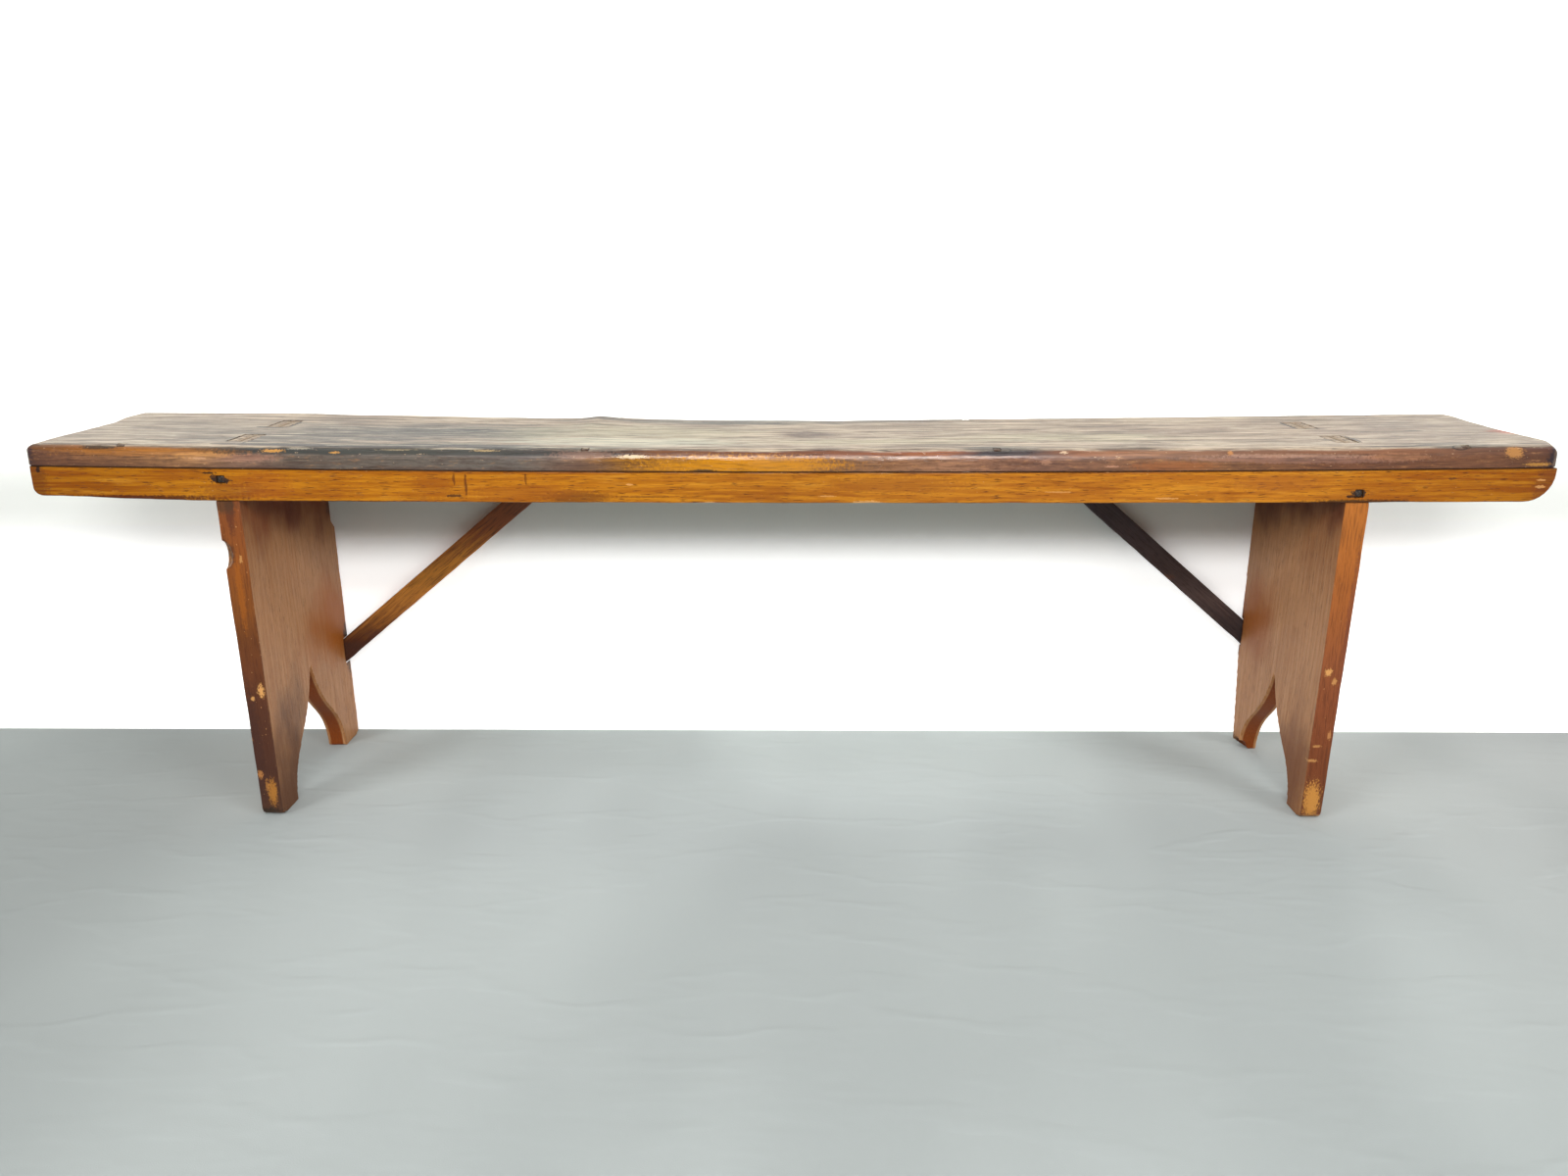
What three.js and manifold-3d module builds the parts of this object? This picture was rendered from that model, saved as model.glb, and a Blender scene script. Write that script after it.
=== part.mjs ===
// A long wooden bench: one seat plank on two board legs with boot-jack feet.
//
// Each leg has two tenons that go up through the seat and are wedged from above. A deep apron runs
// under the seat's front edge and a thinner one under its rear edge, both let into the legs and
// nailed. Two battens brace the legs: each foot is let into a leg's rear edge, and each head is cut
// level under the rear apron. The top has sagged between its ends, the aprons' undersides less.
//
// Units are millimetres. X runs along the bench, the front is towards -Y and Z is up. The pieces are
// placed from the middle between the legs, and the bench's origin is on the floor under the middle
// of all of it. Depths are measured backwards from the front face.

import * as THREE from 'three';
import { mergeVertices } from 'three/addons/utils/BufferGeometryUtils.js';
import Module from 'manifold-3d';

const wasm = await Module();
wasm.setup();

// Seat plank
const seatLength = 1701;
const seatDepth = 262;
const seatThickness = 25;
const seatHeight = 457;
const sag = 6;
const seatEdgeRound = 7;
const seatUnderRound = 1;
const seatEndRound = 9;
const seatPlanRound = 12;

// The seat's ends aren't square: short of the aprons' ends in front, and past them at the rear
const leftFrontShort = 1;
const leftRearReach = 18;
const rightFrontShort = 1;
const rightRearReach = 18;
const seatTrim = 24;

// Aprons
const apronHeight = 38;
const apronUndersideSag = 3;
const frontApronThickness = 20;
const rearApronThickness = 14;
const rearApronInset = 2;
const apronCornerRound = 10;
const apronEdgeRound = 1.5;
const splitOffAlong = 33;
const splitOffUp = 26;

// Legs
const seatOverhang = 205.5;
const legThickness = 25;
const legFrontInset = 2;
const toeRound = 11;
const heelRound = 9;
const stepHeight = 303;
const stepRise = 9;
const leftApronSeat = 4;
const rightApronSeat = 6;
const rightBraceSeat = 2;
const rightHeelInset = 33;
const rightTaperTop = 272;

// Boot-jack arch between the feet of a leg, and the width of each foot on the floor
const leftArchHeight = 153;
const rightArchHeight = 147;
const leftFrontFoot = 46;
const leftRearFoot = 48;
const rightFrontFoot = 42;
const rightRearFoot = 21;

// Tenons and their wedges
const frontTenonStart = 38;
const frontTenonWidth = 50;
const rearTenonInset = 65;
const rearTenonWidth = 54;
const tenonShy = 0.5;
const wedgeTop = 4;
const wedgeTip = 1.6;
const wedgeDepth = 20;

// Braces
const braceWidth = 27;
const braceThickness = 14;
const leftBraceFoot = 128;
const rightBraceFoot = 159;
const leftBraceAngle = 39.7;
const rightBraceAngle = 40.5;
const housingSlack = 2.5;

// Nails: cut nails with square shanks
const nailLength = 50;
const nailShank = 4;
const nailHead = 9;
const nailHeadThickness = 2;
const braceNailLength = 40;
const braceNailShank = 3;
const braceNailHead = 6.5;
const nailSet = 0.8;
const toeNailDrop = 14;

// Old damage that changes the outline of a leg
const biteHeight = 329;
const biteAcross = 9.5;
const biteInwards = 11;
const biteUp = 17;
const rotDepth = 16;
const rotAcross = 13;
const rotUp = 15;

// Clearance of every joint, and how far a cutter runs past what it cuts
const gap = 0.3;
const overrun = 5;

// How finely curves are cut into flats; the sag has an odd number of flats, so its middle is level
const sagSteps = 15;
const edgeSegments = 4;
const archSegments = 9;
const biteSegments = 12;
const biteRings = 8;

// Places of things along or up a piece, as shares of that piece's size
const seatNailShares = [-0.88, -0.27, 0.27, 0.88];
const leftApronNailShares = { across: 0.28, up: 0.64 };
const rightApronNailShares = { across: 0.46, up: 0.26 };
const archShares = [
  [1, 0], [1, 0.2], [0.8, 0.34], [0.57, 0.46],
  [0.33, 0.59], [0.09, 0.78], [0, 1],
];
const nailTipShare = 0.45;
const cornerShare = 0.45;
const middleShare = 0.5;

// Sizes that follow from the ones above
const halfLength = seatLength / 2;
const seatUnderside = seatHeight - seatThickness;
const apronUnderside = seatUnderside - apronHeight;
const legOuterFace = halfLength - seatOverhang;
const legInnerFace = legOuterFace - legThickness;
const legMiddle = legOuterFace - legThickness / 2;
const rearApronBack = seatDepth - rearApronInset;
const rearApronFront = rearApronBack - rearApronThickness;
const braceFront = rearApronBack - braceThickness;
const rearLayerMiddle = rearApronBack - Math.min(rearApronThickness, braceThickness) / 2;
const rightHeelDepth = seatDepth - rightHeelInset;
const rearTenonStart = seatDepth - rearTenonInset - rearTenonWidth;

const colours = {
  seat: 0x8d7761,
  apron: 0xc17f2a,
  leg: 0x94603a,
  leftBrace: 0x94582b,
  rightBrace: 0x3a2a26,
  wedge: 0x6f5a48,
  nail: 0x2f2a28,
};

// How much something has dipped at a place along the bench. The ends haven't dipped at all.
function dipAt(x, mostDip = sag) {
  return -mostDip * Math.max(0, 1 - (x / halfLength) ** 2);
}

function apronUndersideAt(x) {
  return apronUnderside + dipAt(x, apronUndersideSag);
}

// Turns a drawing of (depth, height), extruded along its own z, to stand across the bench.
const depthHeightToBench = new THREE.Matrix4().makeBasis(
  new THREE.Vector3(0, 1, 0), new THREE.Vector3(0, 0, 1), new THREE.Vector3(1, 0, 0),
);

function solidFrom(geometry) {
  const bare = geometry.index ? geometry.toNonIndexed() : geometry.clone();
  bare.deleteAttribute('normal');
  bare.deleteAttribute('uv');
  const merged = mergeVertices(bare);
  return new wasm.Manifold(new wasm.Mesh({
    numProp: 3,
    vertProperties: merged.attributes.position.array,
    triVerts: new Uint32Array(merged.index.array),
  }));
}

function geometryFrom(solid) {
  const mesh = solid.getMesh();
  const geometry = new THREE.BufferGeometry();
  geometry.setAttribute('position', new THREE.BufferAttribute(mesh.vertProperties, 3));
  geometry.setIndex(new THREE.BufferAttribute(mesh.triVerts, 1));
  geometry.computeVertexNormals();
  return geometry;
}

// A prism from a (depth, height) drawing that spans from x = low to x = high.
function acrossBench(shape, low, high, steps = 1) {
  const geometry = new THREE.ExtrudeGeometry(shape, {
    depth: high - low, steps, bevelEnabled: false, curveSegments: archSegments,
  });
  geometry.applyMatrix4(depthHeightToBench);
  geometry.translate(low, -seatDepth / 2, 0);
  return geometry;
}

// A prism from an (x, height) drawing that spans from one depth to another.
function frontToBack(shape, nearDepth, farDepth) {
  const geometry = new THREE.ExtrudeGeometry(shape, {
    depth: farDepth - nearDepth, bevelEnabled: false, curveSegments: edgeSegments,
  });
  geometry.rotateX(Math.PI / 2);
  geometry.translate(0, farDepth - seatDepth / 2, 0);
  return geometry;
}

function boxBetween([x0, depth0, z0], [x1, depth1, z1]) {
  const geometry = new THREE.BoxGeometry(x1 - x0, depth1 - depth0, z1 - z0);
  geometry.translate((x0 + x1) / 2, (depth0 + depth1) / 2 - seatDepth / 2, (z0 + z1) / 2);
  return geometry;
}

// A board's cross-section with its four long edges rounded.
function boardSection(nearDepth, farDepth, bottom, top, upperRound, lowerRound) {
  const section = new THREE.Shape();
  section.moveTo(nearDepth + lowerRound, bottom);
  section.lineTo(farDepth - lowerRound, bottom);
  section.quadraticCurveTo(farDepth, bottom, farDepth, bottom + lowerRound);
  section.lineTo(farDepth, top - upperRound);
  section.quadraticCurveTo(farDepth, top, farDepth - upperRound, top);
  section.lineTo(nearDepth + upperRound, top);
  section.quadraticCurveTo(nearDepth, top, nearDepth, top - upperRound);
  section.lineTo(nearDepth, bottom + lowerRound);
  section.quadraticCurveTo(nearDepth, bottom, nearDepth + lowerRound, bottom);
  return section;
}

// A long board from x = -reach to x = reach. Its top dips with the sag, its underside by its own.
function saggingBoard(section, reach, bottom, top, bottomSag) {
  const geometry = new THREE.ExtrudeGeometry(section, {
    depth: 2 * reach, steps: sagSteps, bevelEnabled: false, curveSegments: edgeSegments,
  });
  geometry.applyMatrix4(depthHeightToBench);
  geometry.translate(-reach, -seatDepth / 2, 0);
  const places = geometry.attributes.position;
  for (let i = 0; i < places.count; i += 1) {
    const z = places.getZ(i);
    const dip = THREE.MathUtils.mapLinear(z, bottom, top, bottomSag, sag);
    places.setZ(i, z + dipAt(places.getX(i), dip));
  }
  return solidFrom(geometry);
}

// The waste outside a rounded corner. along and up point from the corner into the board.
function cornerWaste(x, z, along, up, dip = 0) {
  const outX = x - Math.sign(along) * overrun;
  const outZ = z - Math.sign(up) * overrun;
  const waste = new THREE.Shape();
  waste.moveTo(outX, outZ);
  waste.lineTo(x + along, outZ);
  waste.lineTo(x + along, z + dip);
  waste.bezierCurveTo(x + cornerShare * along, z + dip, x, z + cornerShare * up, x, z + up);
  waste.lineTo(outX, z + up);
  waste.closePath();
  return waste;
}

// Rounds a lower corner of an apron as seen from the front.
function roundUnderside(apron, side, along, up) {
  const dip = dipAt(halfLength - along, apronUndersideSag);
  const waste = cornerWaste(side * halfLength, apronUnderside, -side * along, up, dip);
  return apron.subtract(solidFrom(frontToBack(waste, -overrun, seatDepth + overrun)));
}

// Cuts one end of the seat askew and rounds its top edge.
function trimSeatEnd(board, { side, frontShort, rearReach }) {
  const end = side * (halfLength + (rearReach - frontShort) / 2);
  const outside = end + side * 2 * seatTrim;
  const waste = new THREE.Shape();
  waste.moveTo(outside, seatUnderside - overrun);
  waste.lineTo(end, seatUnderside - overrun);
  waste.lineTo(end, seatHeight - seatEndRound);
  waste.quadraticCurveTo(end, seatHeight, end - side * seatEndRound, seatHeight);
  waste.lineTo(end - side * seatEndRound, seatHeight + overrun);
  waste.lineTo(outside, seatHeight + overrun);
  waste.closePath();
  const skew = side * (frontShort + rearReach) / seatDepth;
  const geometry = frontToBack(waste, -overrun, seatDepth + overrun);
  geometry.applyMatrix4(new THREE.Matrix4().makeShear(0, 0, skew, 0, 0, 0));
  return board.subtract(solidFrom(geometry));
}

// Rounds a corner of the seat as seen from above.
function roundPlan(board, side, depth, out, inwards) {
  const waste = cornerWaste(side * out, depth - seatDepth / 2, -side * seatPlanRound, inwards);
  const geometry = new THREE.ExtrudeGeometry(waste, {
    depth: seatThickness + 2 * overrun, bevelEnabled: false, curveSegments: edgeSegments,
  });
  geometry.translate(0, 0, seatUnderside - overrun);
  return board.subtract(solidFrom(geometry));
}

// Where the parts of a leg's top are: the lowest point of what rests there sets each height.
const shoulderHeight = seatUnderside + dipAt(legInnerFace) - gap;
const apronNotchHeight = apronUndersideAt(legInnerFace) - gap;
const tenonTop = seatHeight + dipAt(legInnerFace) - tenonShy;
const tenons = {
  front: { start: frontTenonStart, width: frontTenonWidth },
  rear: { start: rearTenonStart, width: rearTenonWidth },
};

function addArch(outline, archStart, archEnd, archHeight) {
  const middle = (archStart + archEnd) / 2;
  const half = (archEnd - archStart) / 2;
  const front = archShares.map(([out, up]) => [middle - out * half, up * archHeight]);
  const rear = archShares.map(([out, up]) => [middle + out * half, up * archHeight]);
  outline.lineTo(...front[0]);
  outline.bezierCurveTo(...front[1], ...front[2], ...front[3]);
  outline.bezierCurveTo(...front[4], ...front[5], ...front[6]);
  outline.bezierCurveTo(...rear[5], ...rear[4], ...rear[3]);
  outline.bezierCurveTo(...rear[2], ...rear[1], ...rear[0]);
}

// A leg drawn from its side, as (depth, height). rearEdge lists its back from the floor upwards.
function legOutline({ rearEdge, frontFoot, rearFoot, archHeight }) {
  const outline = new THREE.Shape();
  const [heelDepth] = rearEdge[0];
  outline.moveTo(legFrontInset + toeRound, 0);
  addArch(outline, legFrontInset + frontFoot, heelDepth - rearFoot, archHeight);
  outline.lineTo(heelDepth - heelRound, 0);
  outline.quadraticCurveTo(heelDepth, 0, heelDepth, heelRound);
  for (const [depth, height] of rearEdge.slice(1)) outline.lineTo(depth, height);
  outline.lineTo(rearEdge.at(-1)[0], apronNotchHeight);
  outline.lineTo(rearApronFront - gap, apronNotchHeight);
  outline.lineTo(rearApronFront - gap, shoulderHeight);
  for (const { start, width } of [tenons.rear, tenons.front]) {
    outline.lineTo(start + width, shoulderHeight);
    outline.lineTo(start + width, tenonTop);
    outline.lineTo(start, tenonTop);
    outline.lineTo(start, shoulderHeight);
  }
  outline.lineTo(frontApronThickness + gap, shoulderHeight);
  outline.lineTo(frontApronThickness + gap, apronNotchHeight);
  outline.lineTo(legFrontInset, apronNotchHeight);
  outline.lineTo(legFrontInset, toeRound);
  outline.quadraticCurveTo(legFrontInset, 0, legFrontInset + toeRound, 0);
  return outline;
}

const leftUpperBack = rearApronFront + leftApronSeat;
const rightUpperBack = rearApronFront + rightApronSeat;
const rightBraceBack = braceFront + rightBraceSeat;

const sides = {
  left: {
    side: -1,
    frontShort: leftFrontShort,
    rearReach: leftRearReach,
    frontFoot: leftFrontFoot,
    rearFoot: leftRearFoot,
    archHeight: leftArchHeight,
    braceFoot: leftBraceFoot,
    braceAngle: THREE.MathUtils.degToRad(leftBraceAngle),
    apronNailShares: leftApronNailShares,
    rearEdge: [
      [rearApronBack, 0],
      [rearApronBack, stepHeight],
      [leftUpperBack, stepHeight + stepRise],
    ],
  },
  right: {
    side: 1,
    frontShort: rightFrontShort,
    rearReach: rightRearReach,
    frontFoot: rightFrontFoot,
    rearFoot: rightRearFoot,
    archHeight: rightArchHeight,
    braceFoot: rightBraceFoot,
    braceAngle: THREE.MathUtils.degToRad(rightBraceAngle),
    apronNailShares: rightApronNailShares,
    rearEdge: [
      [rightHeelDepth, 0],
      [rightBraceBack, rightBraceFoot - braceWidth],
      [rightUpperBack, rightTaperTop],
    ],
  },
};

// A leg's faces as x, lowest first.
function legSpan(side) {
  return side < 0 ? [-legOuterFace, -legInnerFace] : [legInnerFace, legOuterFace];
}

// A brace drawn from the front. Its foot ends flush with the leg's outer face, or past it in a
// cutter, and its head is cut level just under the rear apron.
function braceOutline({ side, braceFoot, braceAngle }, grow = 0, past = 0) {
  const slope = Math.tan(braceAngle);
  const halfRise = (braceWidth / 2 + grow) / Math.cos(braceAngle);
  const reach = (height) => legInnerFace - (height - braceFoot) / slope;
  const heightAt = (out) => braceFoot - (out - legInnerFace) * slope;
  const headGuess = reach(apronUnderside + halfRise);
  const headHeight = apronUndersideAt(headGuess) - gap;
  const footOut = legOuterFace + past;
  const outline = new THREE.Shape();
  outline.moveTo(side * footOut, heightAt(footOut) - halfRise);
  outline.lineTo(side * reach(headHeight + halfRise), headHeight);
  outline.lineTo(side * reach(headHeight - halfRise), headHeight);
  outline.lineTo(side * footOut, heightAt(footOut) + halfRise);
  outline.closePath();
  return outline;
}

function braceHeadHeight({ braceFoot, braceAngle }) {
  const halfRise = braceWidth / 2 / Math.cos(braceAngle);
  const innermost = legInnerFace - (apronUnderside + halfRise - braceFoot) / Math.tan(braceAngle);
  return apronUndersideAt(innermost) - gap;
}

// A cut nail that points down its own -Y with its head's top at the origin. grow makes its hole.
function nailGeometry(length, shank, head, grow = 0) {
  const corner = Math.SQRT1_2;
  const profile = [
    [0, -length - grow],
    [shank * corner * nailTipShare + grow, -length - grow],
    [shank * corner + grow, -nailHeadThickness - grow],
    [head * corner + grow, -nailHeadThickness - grow],
    [head * corner + grow, grow ? overrun : 0],
    [0, grow ? overrun : 0],
  ];
  const points = profile.map(([out, along]) => new THREE.Vector2(out, along));
  return new THREE.LatheGeometry(points, 4, Math.PI / 4);
}

function boardNail(grow) {
  return nailGeometry(nailLength, nailShank, nailHead, grow);
}

function braceNail(grow) {
  return nailGeometry(braceNailLength, braceNailShank, braceNailHead, grow);
}

// A nail's place: where its head is, and the way its head faces.
function nailPlace(name, make, x, depth, z, faces) {
  const turn = new THREE.Quaternion().setFromUnitVectors(new THREE.Vector3(0, 1, 0), faces);
  const position = new THREE.Vector3(x, depth - seatDepth / 2, z);
  return { name, make, position, turn };
}

const upwards = new THREE.Vector3(0, 0, 1);
const forwards = new THREE.Vector3(0, -1, 0);
const backwards = new THREE.Vector3(0, 1, 0);

// Nails down through the seat into one of the aprons.
function seatNails(where, depth) {
  return seatNailShares.map((share, i) => {
    const x = share * halfLength;
    return nailPlace(
      `seat_${where}_nail_${i + 1}`, boardNail, x, depth, seatHeight + dipAt(x) - nailSet, upwards,
    );
  });
}

// Nails through the aprons into the legs, and those that hold the braces.
function nailsOfSide(label) {
  const { side, apronNailShares, braceFoot, braceAngle } = sides[label];
  const { across, up } = apronNailShares;
  const nailX = side * (legOuterFace - across * legThickness);
  const nailZ = apronUndersideAt(nailX) + up * apronHeight;
  const rearNailZ = apronUndersideAt(legMiddle) + middleShare * apronHeight;
  const footZ = braceFoot - (legMiddle - legInnerFace) * Math.tan(braceAngle);
  const toeZ = braceHeadHeight(sides[label]) - toeNailDrop;
  const halfRise = braceWidth / 2 / Math.cos(braceAngle);
  const toeOut = legInnerFace - (toeZ + halfRise - braceFoot) / Math.tan(braceAngle);
  const toeFaces = new THREE.Vector3(-side * Math.sin(braceAngle), 0, -Math.cos(braceAngle));
  const toeSet = toeFaces.clone().multiplyScalar(-nailSet);
  return [
    nailPlace(`front_apron_${label}_nail`, boardNail, nailX, nailSet, nailZ, forwards),
    nailPlace(
      `rear_apron_${label}_nail`, boardNail,
      side * legMiddle, rearApronBack - nailSet, rearNailZ, backwards,
    ),
    nailPlace(
      `${label}_brace_foot_nail`, boardNail,
      side * legMiddle, rearApronBack - nailSet, footZ, backwards,
    ),
    nailPlace(
      `${label}_brace_head_nail`, braceNail,
      side * toeOut + toeSet.x, rearLayerMiddle, toeZ + toeSet.z, toeFaces,
    ),
  ];
}

const nails = [
  ...seatNails('front', frontApronThickness / 2),
  ...seatNails('rear', rearLayerMiddle),
  ...nailsOfSide('left'),
  ...nailsOfSide('right'),
];

function nailHole({ make, position, turn }) {
  const geometry = make(gap);
  geometry.applyQuaternion(turn);
  geometry.translate(position.x, position.y, position.z);
  return solidFrom(geometry);
}

// Cuts a hole for each nail that the board meets. A nail far from the board cuts nothing.
function drill(board) {
  return nails.reduce((rest, nail) => rest.subtract(nailHole(nail)), board);
}

// The slot for a wedge runs right across its tenon. grow opens it round the wedge.
function wedgeOutline(grow = 0) {
  const outline = new THREE.Shape();
  outline.moveTo(-wedgeTop / 2 - grow, grow ? overrun : 0);
  outline.lineTo(-wedgeTop / 2 - grow, 0);
  outline.lineTo(-wedgeTip / 2 - grow, -wedgeDepth - grow);
  outline.lineTo(wedgeTip / 2 + grow, -wedgeDepth - grow);
  outline.lineTo(wedgeTop / 2 + grow, 0);
  outline.lineTo(wedgeTop / 2 + grow, grow ? overrun : 0);
  outline.closePath();
  return outline;
}

function wedgeSlot(side, { start, width }) {
  const geometry = frontToBack(wedgeOutline(gap), start - overrun, start + width + overrun);
  geometry.translate(side * legMiddle, 0, tenonTop);
  return solidFrom(geometry);
}

function makeSeat() {
  const section = boardSection(
    0, seatDepth, seatUnderside, seatHeight, seatEdgeRound, seatUnderRound,
  );
  let seat = saggingBoard(section, halfLength + seatTrim, seatUnderside, seatHeight, sag);
  for (const end of Object.values(sides)) {
    const { side, frontShort, rearReach } = end;
    seat = trimSeatEnd(seat, end);
    seat = roundPlan(seat, side, 0, halfLength - frontShort, seatPlanRound);
    seat = roundPlan(seat, side, seatDepth, halfLength + rearReach, -seatPlanRound);
    const [low, high] = legSpan(side);
    for (const { start, width } of Object.values(tenons)) {
      const mortise = boxBetween(
        [low - gap, start - gap, seatUnderside - sag - overrun],
        [high + gap, start + width + gap, seatHeight + overrun],
      );
      seat = seat.subtract(solidFrom(mortise));
    }
  }
  return drill(seat);
}

function makeApronBlank(nearDepth, farDepth) {
  const section = boardSection(
    nearDepth, farDepth, apronUnderside, seatUnderside - gap, apronEdgeRound, apronEdgeRound,
  );
  return saggingBoard(section, halfLength, apronUnderside, seatUnderside, apronUndersideSag);
}

function makeFrontApron() {
  let apron = makeApronBlank(0, frontApronThickness);
  const { left, right } = sides;
  apron = roundUnderside(apron, left.side, apronCornerRound, apronCornerRound);
  apron = roundUnderside(apron, right.side, splitOffAlong, splitOffUp);
  return drill(apron);
}

function makeRearApron() {
  let apron = makeApronBlank(rearApronFront, rearApronBack);
  for (const { side } of Object.values(sides)) {
    apron = roundUnderside(apron, side, apronCornerRound, apronCornerRound);
  }
  return drill(apron);
}

// An egg-shaped hollow, centred at a place given by x, depth and height.
function hollow(across, inwards, up, x, depth, z) {
  const geometry = new THREE.SphereGeometry(1, biteSegments, biteRings);
  geometry.scale(across, inwards, up);
  geometry.translate(x, depth - seatDepth / 2, z);
  return solidFrom(geometry);
}

function makeLeg(label) {
  const { side } = sides[label];
  let leg = solidFrom(acrossBench(legOutline(sides[label]), ...legSpan(side)));
  const housing = braceOutline(sides[label], gap, overrun);
  leg = leg.subtract(solidFrom(
    frontToBack(housing, braceFront - housingSlack, seatDepth + overrun),
  ));
  for (const tenon of Object.values(tenons)) leg = leg.subtract(wedgeSlot(side, tenon));
  return drill(leg);
}

// A piece of the outer front corner is broken out of the left leg.
function makeLeftLeg() {
  const bite = hollow(
    biteAcross, biteInwards, biteUp, -legOuterFace, legFrontInset, biteHeight,
  );
  return makeLeg('left').subtract(bite);
}

// The right leg's rear foot has rotted away on its inner face.
function makeRightLeg() {
  const rot = hollow(rotAcross, rotDepth, rotUp, legInnerFace, rightHeelDepth - rotDepth, 0);
  return makeLeg('right').subtract(rot);
}

function makeBrace(label) {
  const brace = solidFrom(frontToBack(braceOutline(sides[label]), braceFront, rearApronBack));
  return drill(brace);
}

function addPiece(group, name, geometry, colour, roughness, metalness = 0) {
  const material = new THREE.MeshStandardMaterial({ color: colour, roughness, metalness });
  const mesh = new THREE.Mesh(geometry, material);
  mesh.name = name;
  group.add(mesh);
  return mesh;
}

function addWedges(group, label) {
  const { side } = sides[label];
  for (const [where, { start, width }] of Object.entries(tenons)) {
    const geometry = new THREE.ExtrudeGeometry(wedgeOutline(), {
      depth: width, bevelEnabled: false,
    });
    const wedge = addPiece(
      group, `${label}_${where}_tenon_wedge`, geometry, colours.wedge, 0.85,
    );
    wedge.rotation.x = Math.PI / 2;
    wedge.position.set(side * legMiddle, start + width - seatDepth / 2, tenonTop);
  }
}

function addNails(group) {
  for (const { name, make, position, turn } of nails) {
    const nail = addPiece(group, name, make(), colours.nail, 0.6, 0.8);
    nail.position.copy(position);
    nail.quaternion.copy(turn);
  }
}

const bench = new THREE.Group();
addPiece(bench, 'seat_plank', geometryFrom(makeSeat()), colours.seat, 0.7);
addPiece(bench, 'front_apron', geometryFrom(makeFrontApron()), colours.apron, 0.45);
addPiece(bench, 'rear_apron', geometryFrom(makeRearApron()), colours.apron, 0.5);
addPiece(bench, 'left_leg', geometryFrom(makeLeftLeg()), colours.leg, 0.6);
addPiece(bench, 'right_leg', geometryFrom(makeRightLeg()), colours.leg, 0.6);
addPiece(bench, 'left_brace', geometryFrom(makeBrace('left')), colours.leftBrace, 0.5);
addPiece(bench, 'right_brace', geometryFrom(makeBrace('right')), colours.rightBrace, 0.7);
addWedges(bench, 'left');
addWedges(bench, 'right');
addNails(bench);
bench.position.x = (leftRearReach - rightRearReach) / 2;

export default bench;
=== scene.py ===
# %% [markdown]
# # An old plank bench in Blender
# A long seat board lies on two board legs. An apron runs under each long edge, and a slanting
# batten stiffens each leg at the back. Every cell below makes one piece or one finish. The places
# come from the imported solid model, in metres, so each piece lies where its solid does.

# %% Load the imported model
from math import atan2, pi, radians

import bmesh
import bpy
import numpy as np
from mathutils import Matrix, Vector, noise


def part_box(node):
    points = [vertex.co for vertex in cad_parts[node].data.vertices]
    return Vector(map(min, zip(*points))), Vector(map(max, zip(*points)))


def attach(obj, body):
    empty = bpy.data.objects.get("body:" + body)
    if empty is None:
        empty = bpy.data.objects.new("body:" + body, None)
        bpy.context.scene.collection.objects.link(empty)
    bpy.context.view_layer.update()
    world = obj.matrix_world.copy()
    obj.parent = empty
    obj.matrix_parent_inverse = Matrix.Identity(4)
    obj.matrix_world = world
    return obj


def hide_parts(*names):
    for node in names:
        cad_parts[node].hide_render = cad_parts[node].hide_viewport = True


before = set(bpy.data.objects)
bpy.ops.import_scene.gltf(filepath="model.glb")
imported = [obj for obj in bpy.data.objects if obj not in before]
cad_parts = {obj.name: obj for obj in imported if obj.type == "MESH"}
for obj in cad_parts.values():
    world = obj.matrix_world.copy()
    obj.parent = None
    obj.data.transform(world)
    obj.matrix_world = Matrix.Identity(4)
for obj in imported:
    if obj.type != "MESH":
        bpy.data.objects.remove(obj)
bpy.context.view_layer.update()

# %% [markdown]
# ## The bench's own measures
# A joiner measures a bench from its front edge and from the middle between its legs. One short
# function turns such a measure, in millimetres, into a place in the scene. Another turns it back.

# %% Measures from the bench itself
MM = 0.001
FRONT_FACE = -131 * MM


def at(x, depth, height):
    """A place given in millimetres: from the legs' middle, from the front, from the floor."""
    return Vector((x * MM, depth * MM + FRONT_FACE, height * MM))


def measured(place):
    """The x, the depth and the height of a place of the scene, in millimetres."""
    return (place - at(0, 0, 0)) / MM


print("front left corner of the seat:", tuple(round(v, 3) for v in at(-845, 0, 457)))

# %% [markdown]
# ## The camera
# The photograph looks slightly down on the bench, from less than its own length away. The tilt and
# the lens were worked out from the bench's long edges and its four feet.

# %% Camera
TILT, TURN = 16.35, 0.0071  # in degrees and in radians
SENSOR, FOCAL, PHOTO_WIDTH = 36, 1184, 1600  # in millimetres, and twice in pixels
bpy.ops.object.select_all(action="DESELECT")
bpy.ops.object.camera_add(location=at(1.5, -1275, 666), rotation=(radians(90 - TILT), 0, TURN))
camera = bpy.context.object
camera.data.sensor_width = SENSOR
camera.data.lens = SENSOR * FOCAL / PHOTO_WIDTH
bpy.context.scene.camera = camera
bpy.context.scene.view_settings.view_transform = "Standard"
print("camera looks down by", TILT, "degrees with a lens of", round(camera.data.lens, 1), "mm")

# %% [markdown]
# ## Soft light
# One wide lamp stands in front and one at either side, low enough for the seat to throw its shadow
# on the wall right below it. Weak ones hang above and behind. The varnish doesn't mirror the lamps
# at the sides and behind. The last lamp is the other way round: it is only seen mirrored, as the
# thin band of light on the seat's nose. The sky fills in what all these leave dark.

# %% Lamps
AIM = (0, 0, 0.3)


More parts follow.
